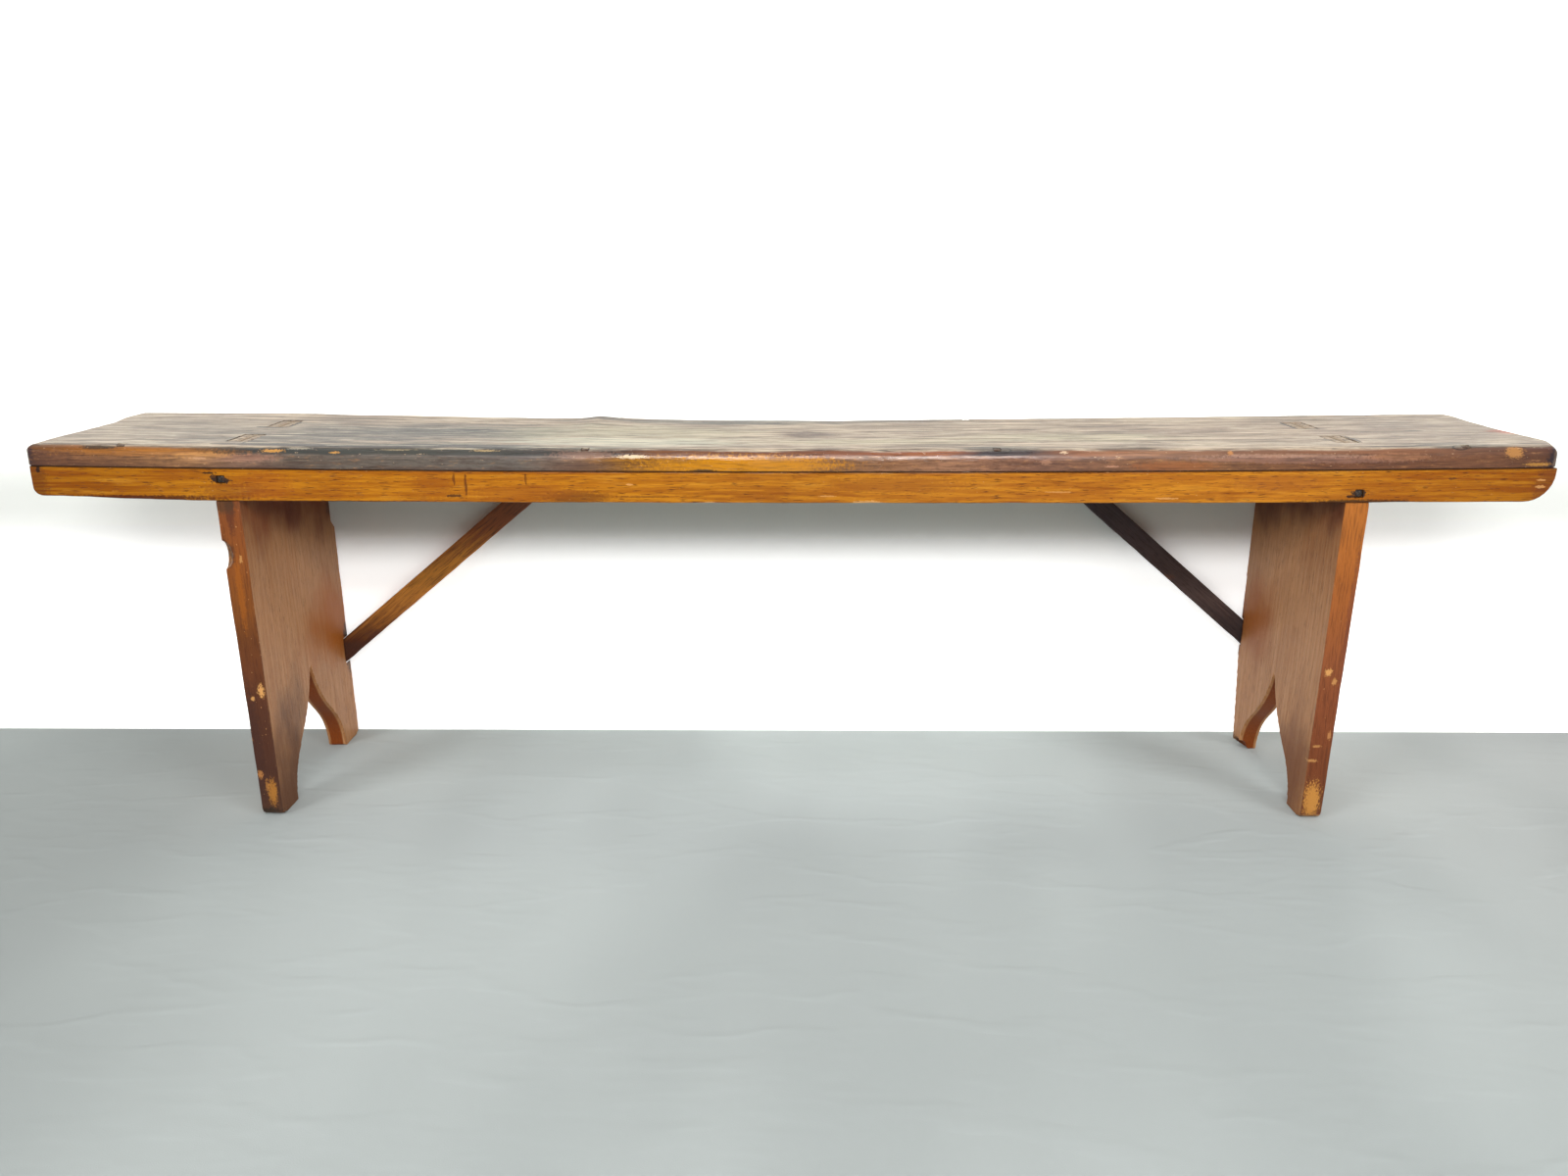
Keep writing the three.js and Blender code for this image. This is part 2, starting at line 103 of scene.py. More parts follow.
def softbox(name, place, target, width, height, power):
    """A wide soft lamp at one place that points at another."""
    bpy.ops.object.light_add(type="AREA", location=place)
    lamp = bpy.context.object
    lamp.name = name
    lamp.rotation_euler = (Vector(target) - Vector(place)).to_track_quat("-Z", "Y").to_euler()
    lamp.data.shape = "RECTANGLE"
    lamp.data.size = width
    lamp.data.size_y = height
    lamp.data.energy = power
    return lamp


softbox("lamp_middle", (0.1, -2.4, 2.0), AIM, width=1.4, height=0.24, power=32)
softbox("lamp_above", (0, -0.9, 2.3), AIM, width=2.4, height=0.6, power=13)
for lamp in (
        softbox("lamp_left", (-2.5, -2.3, 1.5), (0.2, 0, 0.3), width=1.2, height=0.7, power=46),
        softbox("lamp_right", (2.5, -2.3, 1.5), (-0.2, 0, 0.3), width=1.2, height=0.7, power=46),
        softbox("lamp_behind", (0, 2.6, 1.7), AIM, width=3.0, height=0.8, power=20)):
    lamp.visible_glossy = False
gleam = softbox("lamp_gleam", (0.1, -2.4, 2.15), (0, 0, 0.45), width=1.4, height=0.7, power=48)
gleam.visible_diffuse = False

# %% [markdown]
# ## Writing a finish as sums
# A procedural finish is a web of small nodes. `Wire` wraps one output, so that a sum written in
# Python adds its Math nodes. `Finish.node` adds any other node from its type, its settings and
# what goes into its sockets.

# %% The two classes that every finish uses


class Wire:
    """The output of a node. Sums with it become Math nodes."""

    def __init__(self, finish, socket):
        self.finish = finish
        self.socket = socket

    def math(self, operation, first, second):
        return self.finish.node("ShaderNodeMath", {"operation": operation}, {0: first, 1: second})

    def __add__(self, other):
        return self.math("ADD", self, other)

    def __sub__(self, other):
        return self.math("SUBTRACT", self, other)

    def __rsub__(self, other):
        return self.math("SUBTRACT", other, self)

    def __mul__(self, other):
        return self.math("MULTIPLY", self, other)

    __radd__ = __add__
    __rmul__ = __mul__

    def or_more(self, other):
        return self.math("MAXIMUM", self, other)

    def rise(self, low, high):
        """A soft step: 0 at low, 1 at high, whichever of the two is larger."""
        step = self.finish.node("ShaderNodeMapRange", {"interpolation_type": "SMOOTHSTEP"},
                                {0: self, 1: min(low, high), 2: max(low, high)})
        return step if low < high else 1 - step


class Finish:
    """A material, or the sky, under construction, with the helpers that the finishes share."""

    def __init__(self, name, kind=bpy.data.materials):
        self.material = kind.new(name)
        self.material.use_nodes = True
        self.tree = self.material.node_tree
        self.tree.nodes.clear()

    def node(self, kind, settings=None, inputs=None, out=0):
        made = self.tree.nodes.new(kind)
        for setting, value in (settings or {}).items():
            if setting == "stops":
                while len(made.color_ramp.elements) < len(value):
                    made.color_ramp.elements.new(1.0)
                for element, (place, colour) in zip(made.color_ramp.elements, value):
                    element.position = place
                    element.color = colour
            else:
                setattr(made, setting, value)
        for socket, value in (inputs or {}).items():
            if isinstance(value, Wire):
                self.tree.links.new(value.socket, made.inputs[socket])
            else:
                made.inputs[socket].default_value = value
        return Wire(self, made.outputs[out])

    def mix(self, share, first, second):
        """A colour between two."""
        settings = {"data_type": "RGBA", "blend_type": "MIX", "clamp_factor": True}
        return self.node("ShaderNodeMix", settings, {0: share, 6: first, 7: second}, out=2)

    def scaled(self, vector, by, shift=(0, 0, 0)):
        settings = {"operation": "MULTIPLY_ADD"}
        return self.node("ShaderNodeVectorMath", settings, {0: vector, 1: by, 2: shift})

    def parts(self, vector):
        return [self.node("ShaderNodeSeparateXYZ", {}, {0: vector}, out=i) for i in range(3)]

    def cloud(self, vector, scale=1.0, detail=3.0, roughness=0.5):
        """Soft noise between 0 and 1."""
        inputs = {"Vector": vector, "Scale": scale, "Detail": detail, "Roughness": roughness}
        return self.node("ShaderNodeTexNoise", {}, inputs)

    def drawn(self, vector, lengths, detail=3.0, roughness=0.5, shift=(0, 0, 0)):
        """Soft noise, with a length in millimetres for its clouds along each axis."""
        by = [1 / length for length in lengths]
        return self.cloud(self.scaled(vector, by, shift), 1, detail, roughness)

    def length(self, vector):
        return self.node("ShaderNodeVectorMath", {"operation": "LENGTH"}, {0: vector}, out=1)

    def place(self):
        """Where a point of the surface is, in the bench's own millimetres."""
        here = self.node("ShaderNodeTexCoord", out=3)
        return self.scaled(here, (1 / MM, 1 / MM, 1 / MM), (0, -FRONT_FACE / MM, 0))

    def spot(self, here, centre, reach, ragged, edge=0.35):
        """A soft patch: 1 in the middle, 0 past its reach, with a ragged rim."""
        away = self.scaled(here, [1 / r for r in reach], [-c / r for c, r in zip(centre, reach)])
        return (self.length(away) + ragged).rise(1 + edge, 1 - edge)

    def over(self, colour, *coats):
        """Lays coats over a colour, one after the other. Each has a share and a tint."""
        for share, tint in coats:
            colour = self.mix(share, colour, shade(*tint))
        return colour

    def marked(self, here, ragged, colour, marks, edge=0.35):
        """Lays patches over a colour: six measures for centre and reach, a tint and a share."""
        for *space, tint, share in marks:
            patch = self.spot(here, space[:3], space[3:], ragged, edge)
            colour = self.over(colour, (patch * share, tint))
        return colour

    def ramp(self, value, low, high, stops):
        """Colours that follow one another along a value."""
        stops = [((place - low) / (high - low), shade(*tint)) for place, *tint in stops]
        share = self.node("ShaderNodeMapRange", {}, {0: value, 1: low, 2: high})
        return self.node("ShaderNodeValToRGB", {"stops": stops}, {0: share})

    def surface(self, colour, roughness, height, depth=0.0006, shine=0.5):
        """Ends the finish with its colour, its gloss and its relief, depth metres deep."""
        relief = {"Strength": 1.0, "Distance": depth, "Height": height}
        self.output(self.node("ShaderNodeBsdfPrincipled", {}, {
            "Base Color": colour, "Roughness": roughness, "Specular IOR Level": shine,
            "Normal": self.node("ShaderNodeBump", {}, relief)}))
        return self.material

    def output(self, shader, kind="ShaderNodeOutputMaterial"):
        end = self.tree.nodes.new(kind)
        self.tree.links.new(shader.socket, end.inputs["Surface"])
        print(self.material.name, "is a web of", len(self.tree.nodes), "nodes")


def shade(red, green, blue):
    """A colour as seen on a screen, 0 to 255, as the renderer needs it."""
    screen = np.array((red, green, blue)) / 255
    light = np.where(screen <= 0.04045, screen / 12.92, ((screen + 0.055) / 1.055) ** 2.4)
    return (*light.tolist(), 1.0)


print("a mid grey of the screen is", round(shade(128, 128, 128)[0], 3), "in light")

# %% [markdown]
# ## Floor, wall and sky
# The bench stands on pale grey cloth with wide soft folds, in front of a white wall. The cloth is
# painted lighter towards the wall and darker at both sides: painted light and shade. The wall
# matters: the worn varnish of the seat mirrors it at a flat angle. Light is painted on the wall
# below the seat's shadow and at both sides, and shade just under the seat. It lets lamplight and
# the sky through from behind and shows only its front, so the bench can be looked at from every
# side.

# %% Floor
STAGE_WIDTH, WALL_TOP = 9, 3


def backdrop(name, width, height, place, turn=(0, 0, 0)):
    """A flat piece of the stage, with its place in its mesh."""
    bpy.ops.object.select_all(action="DESELECT")
    bpy.ops.mesh.primitive_plane_add(size=1, location=place, rotation=turn)
    piece = bpy.context.object
    piece.name = name
    piece.scale = (width, height, 1)
    bpy.ops.object.transform_apply(location=True, rotation=True, scale=True)
    return piece


floor = backdrop("floor", STAGE_WIDTH, STAGE_WIDTH, (0, -0.4, 0))
cloth = Finish("grey_cloth")
here = cloth.place()
x, depth, _ = cloth.parts(here)
folds = cloth.cloud(cloth.scaled(here, (0.003, 0.0014, 0)), 1, 2, 0.4)
creases = cloth.cloud(cloth.scaled(here, (0.009, 0.004, 0)), 1, 2, 0.5)
weave = cloth.cloud(here, 0.9, 2)
ridge = cloth.cloud(cloth.scaled(here, (0.0035, 0.009, 0)), 1, 3, 0.5) - 0.5
pleats = ridge.math("ABSOLUTE", ridge, 0.0).rise(0.07, 0.0)
# Towards the wall the cloth is painted lighter, and at both sides darker: painted light and shade.
# Its folds are darker too.
colour = cloth.over(
    cloth.mix(depth.rise(-500, 280), shade(174, 180, 179), shade(198, 206, 205)),
    (x.rise(-300, -1000) * 0.7, (137, 141, 139)), (x.rise(500, 1300) * 0.6, (154, 149, 148)),
    (folds.rise(0.35, 0.65) * 0.3, (138, 143, 143)))
floor.data.materials.append(cloth.surface(
    colour, 0.95, folds * 0.8 + creases * 0.35 + pleats * 0.1 + weave * 0.02,
    depth=0.006, shine=0.1))

# %% Wall
wall = backdrop("wall", STAGE_WIDTH, WALL_TOP, (0, 0.137, WALL_TOP / 2), (pi / 2, 0, 0))
plaster = Finish("white_wall")
x, _, height = plaster.parts(plaster.node("ShaderNodeNewGeometry"))
seen = plaster.node("ShaderNodeLightPath").or_more(plaster.node("ShaderNodeLightPath", out=3))
# The glow whitens the wall for the camera and in the varnish. Above the seat it is an even white
# backdrop. Below the seat's shadow and at both sides it is painted light, which sharpens the
# shadow's lower edge and takes away the shadows at the sides.
bright = (height.rise(0.34, 0.5) * 0.9 + height.rise(0.302, 0.236) * 0.62
          + x.rise(0.66, 0.76) * 0.22 + x.rise(-0.66, -0.76) * 0.18)
glow = plaster.node("ShaderNodeEmission", {}, {"Color": (1, 1, 1, 1), "Strength": seen * bright})
# Just under the seat the wall's own white is darker: painted shade.
white_and_painted_shade = plaster.node("ShaderNodeBsdfDiffuse", {}, {
    "Color": plaster.mix(height.rise(0.28, 0.33), shade(243, 243, 240), shade(222, 224, 218))})
lit = plaster.node("ShaderNodeAddShader", {}, {0: white_and_painted_shade, 1: glow})
clear = plaster.node("ShaderNodeBsdfTransparent")
behind = plaster.node("ShaderNodeNewGeometry", out=6)
plaster.output(plaster.node("ShaderNodeMixShader", {}, {0: behind, 1: lit, 2: clear}))
wall.data.materials.append(plaster.material)
wall.visible_shadow = False

# %% Sky
SKY_SEEN, SKY_LIGHT = 1.0, 0.25
sky = Finish("sky", bpy.data.worlds)
bpy.context.scene.world = sky.material
seen = sky.node("ShaderNodeLightPath")
sky.output(sky.node("ShaderNodeBackground", {}, {
    "Color": (1, 1, 1, 1), "Strength": seen * (SKY_SEEN - SKY_LIGHT) + SKY_LIGHT}),
    "ShaderNodeOutputWorld")
print("stage: a floor of", tuple(round(v, 1) for v in floor.dimensions), "m and a wall")

# %% [markdown]
# ## Joiner's tools
# A few steps come back for every board: cut a blank, round some edges, saw it into fine slices
# so that it can bend, and move its points by a rule. Each is a small function. An operator acts on
# all that is selected, so `only` and `pick` first select what is meant.

# %% Blanks, and picking parts of them


def only(piece):
    """Selects one piece and nothing else."""
    bpy.ops.object.select_all(action="DESELECT")
    piece.select_set(True)
    bpy.context.view_layer.objects.active = piece


def middle_of(low, high):
    """The point halfway between two corners."""
    return [(a + b) / 2 for a, b in zip(low, high)]


def blank(name, low, high):
    """A rectangular board between two corners."""
    bpy.ops.object.select_all(action="DESELECT")
    size = [b - a for a, b in zip(low, high)]
    bpy.ops.mesh.primitive_cube_add(size=1, location=middle_of(low, high), scale=size)
    board = bpy.context.object
    board.name = board.data.name = name
    bpy.ops.object.transform_apply(location=True, rotation=True, scale=True)
    return board


def pick(piece, kind, chosen):
    """Opens a piece in edit mode and selects the points, edges or faces that pass the test."""
    only(piece)
    bpy.ops.object.mode_set(mode="EDIT")
    bpy.ops.mesh.select_mode(type=kind)
    bpy.ops.mesh.select_all(action="DESELECT")
    mesh = bmesh.from_edit_mesh(piece.data)
    for part in {"VERT": mesh.verts, "EDGE": mesh.edges, "FACE": mesh.faces}[kind]:
        part.select_set(chosen(part))
    bmesh.update_edit_mesh(piece.data)


def weld(piece):
    """Merges the points that lie on each other."""
    only(piece)
    bpy.ops.object.mode_set(mode="EDIT")
    bpy.ops.mesh.select_all(action="SELECT")
    bpy.ops.mesh.remove_doubles(threshold=0.01 * MM)
    bpy.ops.object.mode_set(mode="OBJECT")


# %% Rounded edges, slices, rules and holes


def round_edges(board, chosen, width, segments):
    """Rounds the edges whose two ends, a and b, pass the test."""
    pick(board, "EDGE", lambda edge: chosen(edge.verts[0].co, edge.verts[1].co))
    bpy.ops.mesh.bevel(offset=width, segments=segments, profile=0.5, affect="EDGES")
    bpy.ops.object.mode_set(mode="OBJECT")


def saw(board, axis, start, end, step):
    """Cuts a board into slices that stay joined, so that it can bend between them."""
    only(board)
    bpy.ops.object.mode_set(mode="EDIT")
    normal = [float(i == axis) for i in range(3)]
    for place in np.arange(start + step / 2, end, step):
        bpy.ops.mesh.select_all(action="SELECT")
        bpy.ops.mesh.bisect(plane_co=[place * n for n in normal], plane_no=normal)
    bpy.ops.object.mode_set(mode="OBJECT")


def reshape(board, rule):
    """Moves every point of a board by a rule on its x, depth and height in millimetres."""
    for vertex in board.data.vertices:
        vertex.co = at(*rule(*measured(vertex.co)))
    board.data.update()


def ripple(*place):
    """Smooth noise from -1 to 1 at a place, the same on every run."""
    return noise.noise(Vector(place))


def share_of(value):
    """The value, kept between 0 and 1."""
    return min(1, max(0, value))


def cut_away(board, cutters):
    """Takes the shapes of the cutters out of the board and throws the cutters away."""
    for cutter in cutters:
        only(board)
        hole = board.modifiers.new("cut", "BOOLEAN")
        hole.object = cutter
        hole.solver = "EXACT"
        bpy.ops.object.modifier_apply(modifier=hole.name)
        bpy.data.objects.remove(cutter)


def finish_piece(piece, finish, slot, *nodes, angle=40):
    """Smooths a piece, gives it its finish and hides the solids that it stands for."""
    weld(piece)
    bpy.ops.object.shade_smooth_by_angle(angle=radians(angle))
    piece.data.materials.clear()
    piece.data.materials.append(finish)
    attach(piece, "root")
    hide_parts(*nodes)
    print(piece.name, "has", len(piece.data.polygons), "faces")


# %% [markdown]
# ## The shape of the worn seat
# The board was flat once. People sat in its middle, so its long edges sag, the rear one most. A
# knot at the rear edge is harder than the wood around it and now stands proud. The ends were sawn
# a little askew. These curves give the heights and the ends that the photograph shows.

# %% Curves of the seat
HALF_LENGTH = 850.5
SEAT_DEPTH = 262
SEAT_UNDERSIDE = 432
SEAT_RIM = 456.6
SAG = 6
REAR_TOP = ([-860, -659, -464, -321, -275, -252, -230, -205, -87, 69, 250, 508, 701, 854],
            [456.8, 456.2, 452.2, 449.8, 450.2, 453.0, 451.0, 449.2, 447.0, 446.8, 449.0, 452.0,
             454.8, 456.6])
LEFT_END = ([0, 30, 60, 100, 150, 180, 200, 217, 236, 262],
            [-854.5, -857, -859.5, -857, -857.5, -858, -862.5, -866.5, -867.8, -867.8])
RIGHT_END = ([0, 10, 29, 43, 57, 71, 100, 117, 180, 200, 217, 236, 262],
             [847, 852, 860, 865.5, 866, 865, 863.5, 862, 862.5, 864, 866.5, 867.8, 867.8])


def dip(x, most=SAG):
    """How far the sagging board hangs down at x."""
    return most * max(0.0, 1 - (x / HALF_LENGTH) ** 2)


def seat_top(x, depth):
    """The height of the worn top."""
    front = SEAT_RIM - dip(x)
    rear = np.interp(x, *REAR_TOP)
    return front + (rear - front) * share_of(depth / SEAT_DEPTH) ** 1.6


def end_at(x, depth):
    """Where the end of the board nearest to x lies at this depth."""
    return np.interp(depth, *(LEFT_END if x < 0 else RIGHT_END))


rear_dip = SEAT_RIM - seat_top(0, SEAT_DEPTH)
print("the seat hangs", dip(0), "mm in front and", round(rear_dip, 1), "mm at the back")

# %% Seat board, flat and straight
FRONT_CORNER, REAR_CORNER, RIM_ROUND, LOWER_ROUND = 11 * MM, 5 * MM, 7 * MM, 1 * MM
UPRIGHT = 10 * MM
NEAR_RIM, NEAR_UNDERSIDE = (SEAT_RIM - 0.6) * MM, (SEAT_UNDERSIDE + 0.1) * MM
seat_board = blank("seat_board", at(-HALF_LENGTH, 0, SEAT_UNDERSIDE),
                   at(HALF_LENGTH, SEAT_DEPTH, SEAT_RIM))
round_edges(seat_board, lambda a, b: abs(a.z - b.z) > UPRIGHT and a.y < 0, FRONT_CORNER, 5)
round_edges(seat_board, lambda a, b: abs(a.z - b.z) > UPRIGHT and a.y > 0, REAR_CORNER, 4)
round_edges(seat_board, lambda a, b: min(a.z, b.z) > NEAR_RIM, RIM_ROUND, 4)
round_edges(seat_board, lambda a, b: max(a.z, b.z) < NEAR_UNDERSIDE, LOWER_ROUND, 1)
saw(seat_board, 0, -0.85, 0.85, 9 * MM)
saw(seat_board, 1, -0.131, 0.131, 5 * MM)
saw(seat_board, 2, 0.434, 0.450, 2.5 * MM)
print("seat board of", len(seat_board.data.vertices), "points")

# %% Seat board, worn
NOSE = 13
HIGHEST = 456.8


def wear_seat(x, depth, height):
    # The rim of the front and of both ends is worn round, with a radius that ripples.
    for round_end in (False, True):
        nose = NOSE + 2.5 * ripple(x / 70, 3.7, 1) + (1 if round_end else 0)
        from_rim = HALF_LENGTH - abs(x) if round_end else depth
        inward, below = nose - from_rim, nose - (SEAT_RIM - height)
        away = (inward ** 2 + below ** 2) ** 0.5
        if inward > 0 and below > 0 and away > nose:
            from_rim = nose - inward * nose / away
            height = SEAT_RIM - nose + below * nose / away
            if round_end:
                x = np.sign(x) * (HALF_LENGTH - from_rim)
            else:
                depth = from_rim
    # The board bends between its sagging underside and its worn top.
    up = (height - SEAT_UNDERSIDE) / (SEAT_RIM - SEAT_UNDERSIDE)
    bottom = SEAT_UNDERSIDE - dip(x)
    new_height = bottom + up * (seat_top(x, depth) - bottom)
    near_end = share_of((abs(x) - 740) / 90) ** 2
    new_x = x + near_end * (end_at(x, depth) - np.sign(x) * HALF_LENGTH)
    # The top has hollows, and the front and the rear edge waver.
    hollows = 0.45 * ripple(x / 90, depth / 16, 2) + 0.3 * ripple(x / 34, depth / 7, 5)
    new_height += max(0, up) ** 3 * hollows
    front_rim = max(0, 1 - depth / 20) * up
    rear_rim = max(0, 1 - (SEAT_DEPTH - depth) / 12) * up
    new_depth = (depth + front_rim * (0.5 + 0.6 * ripple(x / 48, height / 12, 8))
                 - rear_rim * (0.8 + 0.8 * ripple(x / 40, 1.3, 4)))
    return new_x, new_depth, min(new_height, HIGHEST)


reshape(seat_board, wear_seat)
print("worn top up to", round(max(v.co.z for v in seat_board.data.vertices), 4), "m")

# %% [markdown]
# ## Mortises and nail holes
# Each leg comes through the seat with two broad tenons, so the seat has four mortises. The nails
# that hold it to the aprons are driven below the surface. All these places are read from the
# solids, and taken out of the finished board as a chisel would. An attribute then marks the sawn
# ends of the board, because the finish shows the rings of the tree there.

# %% Cut the mortises and the nail holes
OPEN_CRACK, TIGHT = 0.5 * MM, 0.1 * MM
HOLE_PLAY = 0.25 * MM
NAIL_SET, HOLE_DEPTH = 0.4 * MM, 2 * MM
BELOW_SEAT, ABOVE_SEAT = 400 * MM, 470 * MM
TENONS = {"left_front": (TIGHT, OPEN_CRACK), "left_rear": (TIGHT, OPEN_CRACK),
          "right_front": (OPEN_CRACK, OPEN_CRACK), "right_rear": (OPEN_CRACK, TIGHT)}
mortises = []
for place, (left_play, right_play) in TENONS.items():
    low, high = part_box(place + "_tenon_wedge")
    leg_low, leg_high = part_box(place.split("_")[0] + "_leg")
    mortises.append(blank("mortise", (leg_low[0] - left_play, low[1] - OPEN_CRACK, BELOW_SEAT),
                          (leg_high[0] + right_play, high[1] + TIGHT, ABOVE_SEAT)))


def worn_top(x, y):
    """The height of the worn top at a place of the scene, in metres."""
    return seat_top(x / MM, (y - FRONT_FACE) / MM) * MM


def nail_top(node):
    """Where a seat nail's head ends up: just below the worn top around it."""
    x, y, _ = middle_of(*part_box(node))
    return Vector((x, y, worn_top(x, y) - NAIL_SET))


for row in ("front", "rear"):
    for number in range(1, 5):
        node = f"seat_{row}_nail_{number}"
        low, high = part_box(node)
        ground = nail_top(node).z - HOLE_DEPTH
        mortises.append(blank("nail_hole", (low[0] - HOLE_PLAY, low[1] - HOLE_PLAY, ground),
                              (high[0] + HOLE_PLAY, high[1] + HOLE_PLAY, ABOVE_SEAT)))
print(len(mortises), "mortises and nail holes")
cut_away(seat_board, mortises)
end_share = seat_board.data.attributes.new("end_share", "FLOAT", "POINT")
for vertex, share in zip(seat_board.data.vertices, end_share.data):
    x, depth, height = measured(vertex.co)
    from_end = abs(end_at(x, depth)) - abs(x)
    share.value = share_of((7 - from_end) / 5)

# %% [markdown]
# ## Aprons
# Both aprons are thin boards on edge that bend with the seat. Their lower corners are rounded. At
# the front right the corner has split off and was worn smooth, so it is cut back further.

# %% Front and rear apron
APRON_UNDERSIDE, APRON_TOP = 394, 431.7
APRON_SAG = 3
LEFT_CORNER, RIGHT_CORNER = 11 * MM, 31 * MM
NEAR_ENDS = 800 * MM


def apron(name, node, right_corner):
    """A board on edge with rounded lower corners."""
    low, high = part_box(node)
    trim = 2 * MM if right_corner > LEFT_CORNER else 0
    bottom, top = APRON_UNDERSIDE * MM, APRON_TOP * MM
    board = blank(name, (low[0], low[1], bottom), (high[0] - trim, high[1], top))
    round_edges(board, lambda a, b: max(a.z, b.z) < bottom + MM and max(a.x, b.x) < -NEAR_ENDS,
                LEFT_CORNER, 6)
    round_edges(board, lambda a, b: max(a.z, b.z) < bottom + MM and min(a.x, b.x) > NEAR_ENDS,
                right_corner, 8)
    front, back = low[1] + MM, high[1] - MM
    round_edges(board, lambda a, b: max(a.y, b.y) < front or min(a.y, b.y) > back, 1.4 * MM, 3)
    saw(board, 0, low[0], high[0], 9 * MM)
    saw(board, 2, bottom, top, 5 * MM)
    return board


def wear_apron(x, depth, height):
    """The rule that bends an apron with the seat and frays its lower rim."""
    up = (height - APRON_UNDERSIDE) / (APRON_TOP - APRON_UNDERSIDE)
    bottom = APRON_UNDERSIDE - dip(x, APRON_SAG) + 4.2 * share_of((-x - 640) / 180) ** 1.5
    new_height = bottom + up * (APRON_TOP - dip(x) - bottom)
    low_rim = max(0, 1 - up * 5)
    new_height += 0.5 * low_rim * (ripple(x / 55, 2.2, depth / 30) + 0.6 * ripple(x / 17, 9.2, 0))
    new_depth = depth + 0.25 * ripple(x / 70, height / 14, depth)
    return x, max(new_depth, 0.05), new_height


front_apron = apron("front_apron_board", "front_apron", RIGHT_CORNER)
rear_apron = apron("rear_apron_board", "rear_apron", LEFT_CORNER)
for board in (front_apron, rear_apron):
    reshape(board, wear_apron)

# %% The nails' holes in the aprons
OUTSIDE, HEAD_ROOM = 140 * MM, 2.4 * MM
for side in ("left", "right"):
    for row, board in (("front", front_apron), ("rear", rear_apron)):
        low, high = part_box(f"{row}_apron_{side}_nail")
        near, far = -OUTSIDE, low[1] + HEAD_ROOM
        if row == "rear":
            near, far = high[1] - HEAD_ROOM, OUTSIDE
        cut_away(board, [blank("nail_hole", (low[0] - HOLE_PLAY, near, low[2] - HOLE_PLAY),
                               (high[0] + HOLE_PLAY, far, high[2] + HOLE_PLAY))])
        print("hole in the", row, "apron at x", round((low[0] + high[0]) / 2, 3))

# %% [markdown]
# ## Legs
# A leg is one board with an arch sawn between its two feet, notches for the aprons and the brace,
# and two tenons at its top. Its outline was settled in the solid model, so a copy of that solid is
# the blank. A fine voxel remesh then gives it enough points to be worn: edges get soft, faces
# lose their flatness, and the board leans a little.

# %% Leg boards
VOXEL = 2.0 * MM
SHOULDER = 429
LEG_MIDDLE, HALF_THICKNESS = 632.5, 12.5
TENON_TOP = 454


def leg_blank(name, node):
    """A copy of the solid leg, closed, with a fine even mesh."""
    only(bpy.data.objects[node])
    bpy.ops.object.duplicate()
    board = bpy.context.object
    board.name = board.data.name = name
    weld(board)
    remesh = board.modifiers.new("fine_mesh", "REMESH")
    remesh.mode = "VOXEL"
    remesh.voxel_size = VOXEL
    bpy.ops.object.modifier_apply(modifier=remesh.name)
    print(name, "has", len(board.data.vertices), "points")
    return board


def wear_leg(side):
    """The rule that wears one leg. The side is -1 for the left one and 1 for the right one."""

    def rule(x, depth, height):
        if height > SHOULDER:
            on_top = seat_top(x, depth) - TENON_TOP if height > 445 else 0
            return x, depth, height + on_top
        outer = side * (x - side * LEG_MIDDLE) / HALF_THICKNESS
        free = min(1, (SHOULDER - height) / 20)
        lean = 3.0 * (height / 430 - 0.35)
        swell = 1.6 * max(0, outer) * min(1, height / 300)
        new_x = x + side * free * (lean + swell) + 0.35 * ripple(depth / 30, height / 60, side * 4)
        from_front = max(0, 1 - (depth - 2) / 9)
        from_rear = max(0, 1 - (256 - depth) / 9)
        new_depth = depth + from_front * (0.9 * ripple(height / 30, x / 14, side) + 0.6) * free
        new_depth -= from_rear * (0.8 * ripple(height / 26, x / 14, side + 7) + 0.4) * free
        low = max(0, 1 - height / 8)
        new_height = height + low * 0.6 * (1 + ripple(depth / 9, x / 8, side))
        return new_x, new_depth, new_height

    return rule


left_leg = leg_blank("left_leg_board", "left_leg")
right_leg = leg_blank("right_leg_board", "right_leg")
reshape(left_leg, wear_leg(-1))
reshape(right_leg, wear_leg(1))

# %% [markdown]
# ## Braces
# Each brace is a batten that rises from a notch in the leg's rear edge to the underside of the
# rear apron. A straight blank is turned to its slope, and its ends are sawn off along the leg's
# face and the apron's underside.

# %% Brace battens
BRACE_WIDTH = 27 * MM
SPARE = 60 * MM


